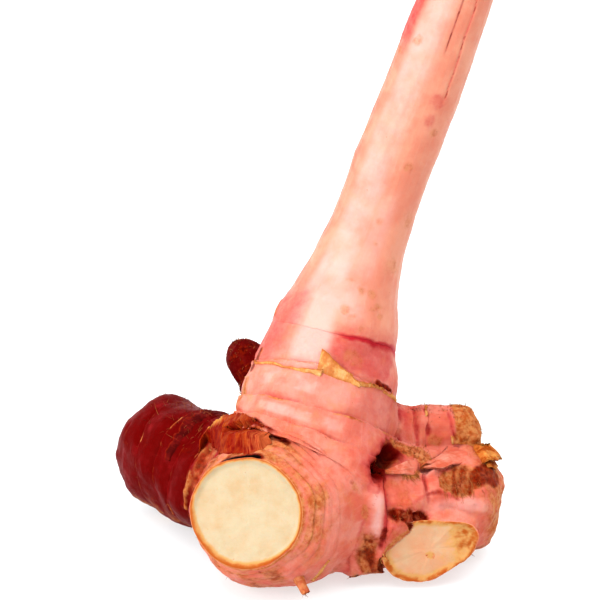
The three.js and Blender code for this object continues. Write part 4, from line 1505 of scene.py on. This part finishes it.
def hair_look():
    look = Look("root_hair", Specular_IOR_Level=0.3)
    base = look.mix(look.mask("tone"), colour(94, 34, 16), colour(206, 138, 84))
    return look.finish(base, look.ranged(look.noise(1, 2), 0.3, 0.7, 0.6, 0.8), look.noise(0.4, 2))


def table_look():
    look = Look("table_white", Emission_Color=(1, 1, 1, 1), Emission_Strength=0.44)
    light, shade = (0.37, 0.415, 0.425, 1), (0.35, 0.395, 0.405, 1)
    base = look.over(shade, light, look.noise(400, 2), 0.3, 0.7)
    return look.finish(base, 0.6, look.noise(3, 2), 0.02, 0.0002)


dry_leaf = leaf_look(
    "dry_leaf", colour(214, 124, 60), colour(168, 58, 16), colour(146, 26, 6),
    colour(240, 176, 104), 0.55, 0.25, (0.62, 17), end=(47, colour(230, 136, 92)),
)
tan_leaf = leaf_look(
    "tan_leaf", colour(250, 212, 160), colour(242, 180, 118), colour(222, 144, 90),
    colour(206, 130, 74), 0.7,
)
tip_leaf = leaf_look(
    "tip_leaf", colour(246, 190, 116), colour(224, 142, 80), colour(180, 88, 40), TAN,
)
pale_leaf = leaf_look(
    "pale_leaf", colour(252, 196, 176), colour(242, 156, 136), colour(226, 124, 98), RUST,
    0.4, 0.25, foot=CORAL,
)
dark_leaf = leaf_look(
    "dark_leaf", colour(158, 58, 48), colour(128, 14, 12), colour(104, 10, 8), BROWN,
)
root_skin = skin_look("root_skin", PINK, CORAL, AMBER, 0.14, 0.4, 0.07)
stem_skin = skin_look("stem_skin", PEACH, SALMON, PEACH, 0.0, 0.15, 0.4)


# Floor, light and camera

HALF = 4.0
BELOW = 0.0002  # the table lies this far under the root
floor_mesh = bpy.data.meshes.new("table_top")
corners = [(-HALF, -HALF), (HALF, -HALF), (HALF, HALF), (-HALF, HALF)]
floor_mesh.from_pydata([(x, y, -BELOW) for x, y in corners], [], [(0, 1, 2, 3)])
floor_mesh.materials.append(table_look())
floor = make_object("table_top", floor_mesh)


def shine(name, kind, power, place, target, **settings):
    """A lamp at a place, turned to a target."""
    lamp = bpy.data.lights.new(name, kind)
    lamp.energy = power
    for key, value in settings.items():
        setattr(lamp, key, value)
    holder = make_object(name, lamp)
    holder.location = place
    direction = Vector(target) - holder.location
    holder.rotation_euler = direction.to_track_quat("-Z", "Y").to_euler()


shine(
    "window", "AREA", 13, (-1.25, -0.85, 0.7), (0, 0, 0.08),
    shape="RECTANGLE", size=0.7, size_y=1.2,
)
shine("ceiling", "SUN", 1.2, (0.1, -0.3, 2), (0, 0, 0), angle=math.radians(60))

world = bpy.data.worlds.new("room")
bpy.context.scene.world = world
world.use_nodes = True
backdrop = world.node_tree.nodes["Background"]
backdrop.inputs[0].default_value = (1, 1, 1, 1)
seen = world.node_tree.nodes.new("ShaderNodeLightPath")
strength = world.node_tree.nodes.new("ShaderNodeMapRange")
strength.inputs["To Min"].default_value = 0.9
strength.inputs["To Max"].default_value = 1.0
world.node_tree.links.new(seen.outputs["Is Camera Ray"], strength.inputs["Value"])
world.node_tree.links.new(strength.outputs[0], backdrop.inputs[1])
bpy.context.scene.view_settings.view_transform = "Standard"
bpy.context.scene.view_settings.look = "High Contrast"

ELEVATION = math.radians(22)
DISTANCE = 0.9
TARGET = Vector((-0.00231, 0.00188, 0.0853))
camera_data = bpy.data.cameras.new("camera")
camera_data.lens = 168.75
camera_data.sensor_width = 36
camera_data.clip_start = 0.01
camera = make_object("camera", camera_data)
camera.location = TARGET + DISTANCE * Vector((0, -math.cos(ELEVATION), math.sin(ELEVATION)))
camera.rotation_euler = (math.pi / 2 - ELEVATION, 0, 0)
bpy.context.scene.camera = camera

# What each piece is made of, what it is and rides on, and the solid it stands for
for piece, material, slot, nodes in (
    (rhizome, root_skin, "rhizome_skin", ["rhizome"]),
    (stem, stem_skin, "stem_sheath", ["stem"]),
    (front_scale, dry_leaf, "dry_scale", ["front_scale"]),
    (ring_scale, tan_leaf, "dry_scale", ["ring_scale"]),
    (tip_scale, tip_leaf, "dry_scale", ["tip_scale"]),
    (fork_scale, pale_leaf, "pale_scale", ["fork_scale"]),
    (knob_scale, dark_leaf, "dark_scale", ["knob_scale"]),
    (scraps, tan_leaf, "dry_scale", []),
    (hairs, hair_look(), "dry_scale", []),
):
    piece.data.materials.append(material)
    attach(piece, "root")
    if nodes:
        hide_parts(*nodes)
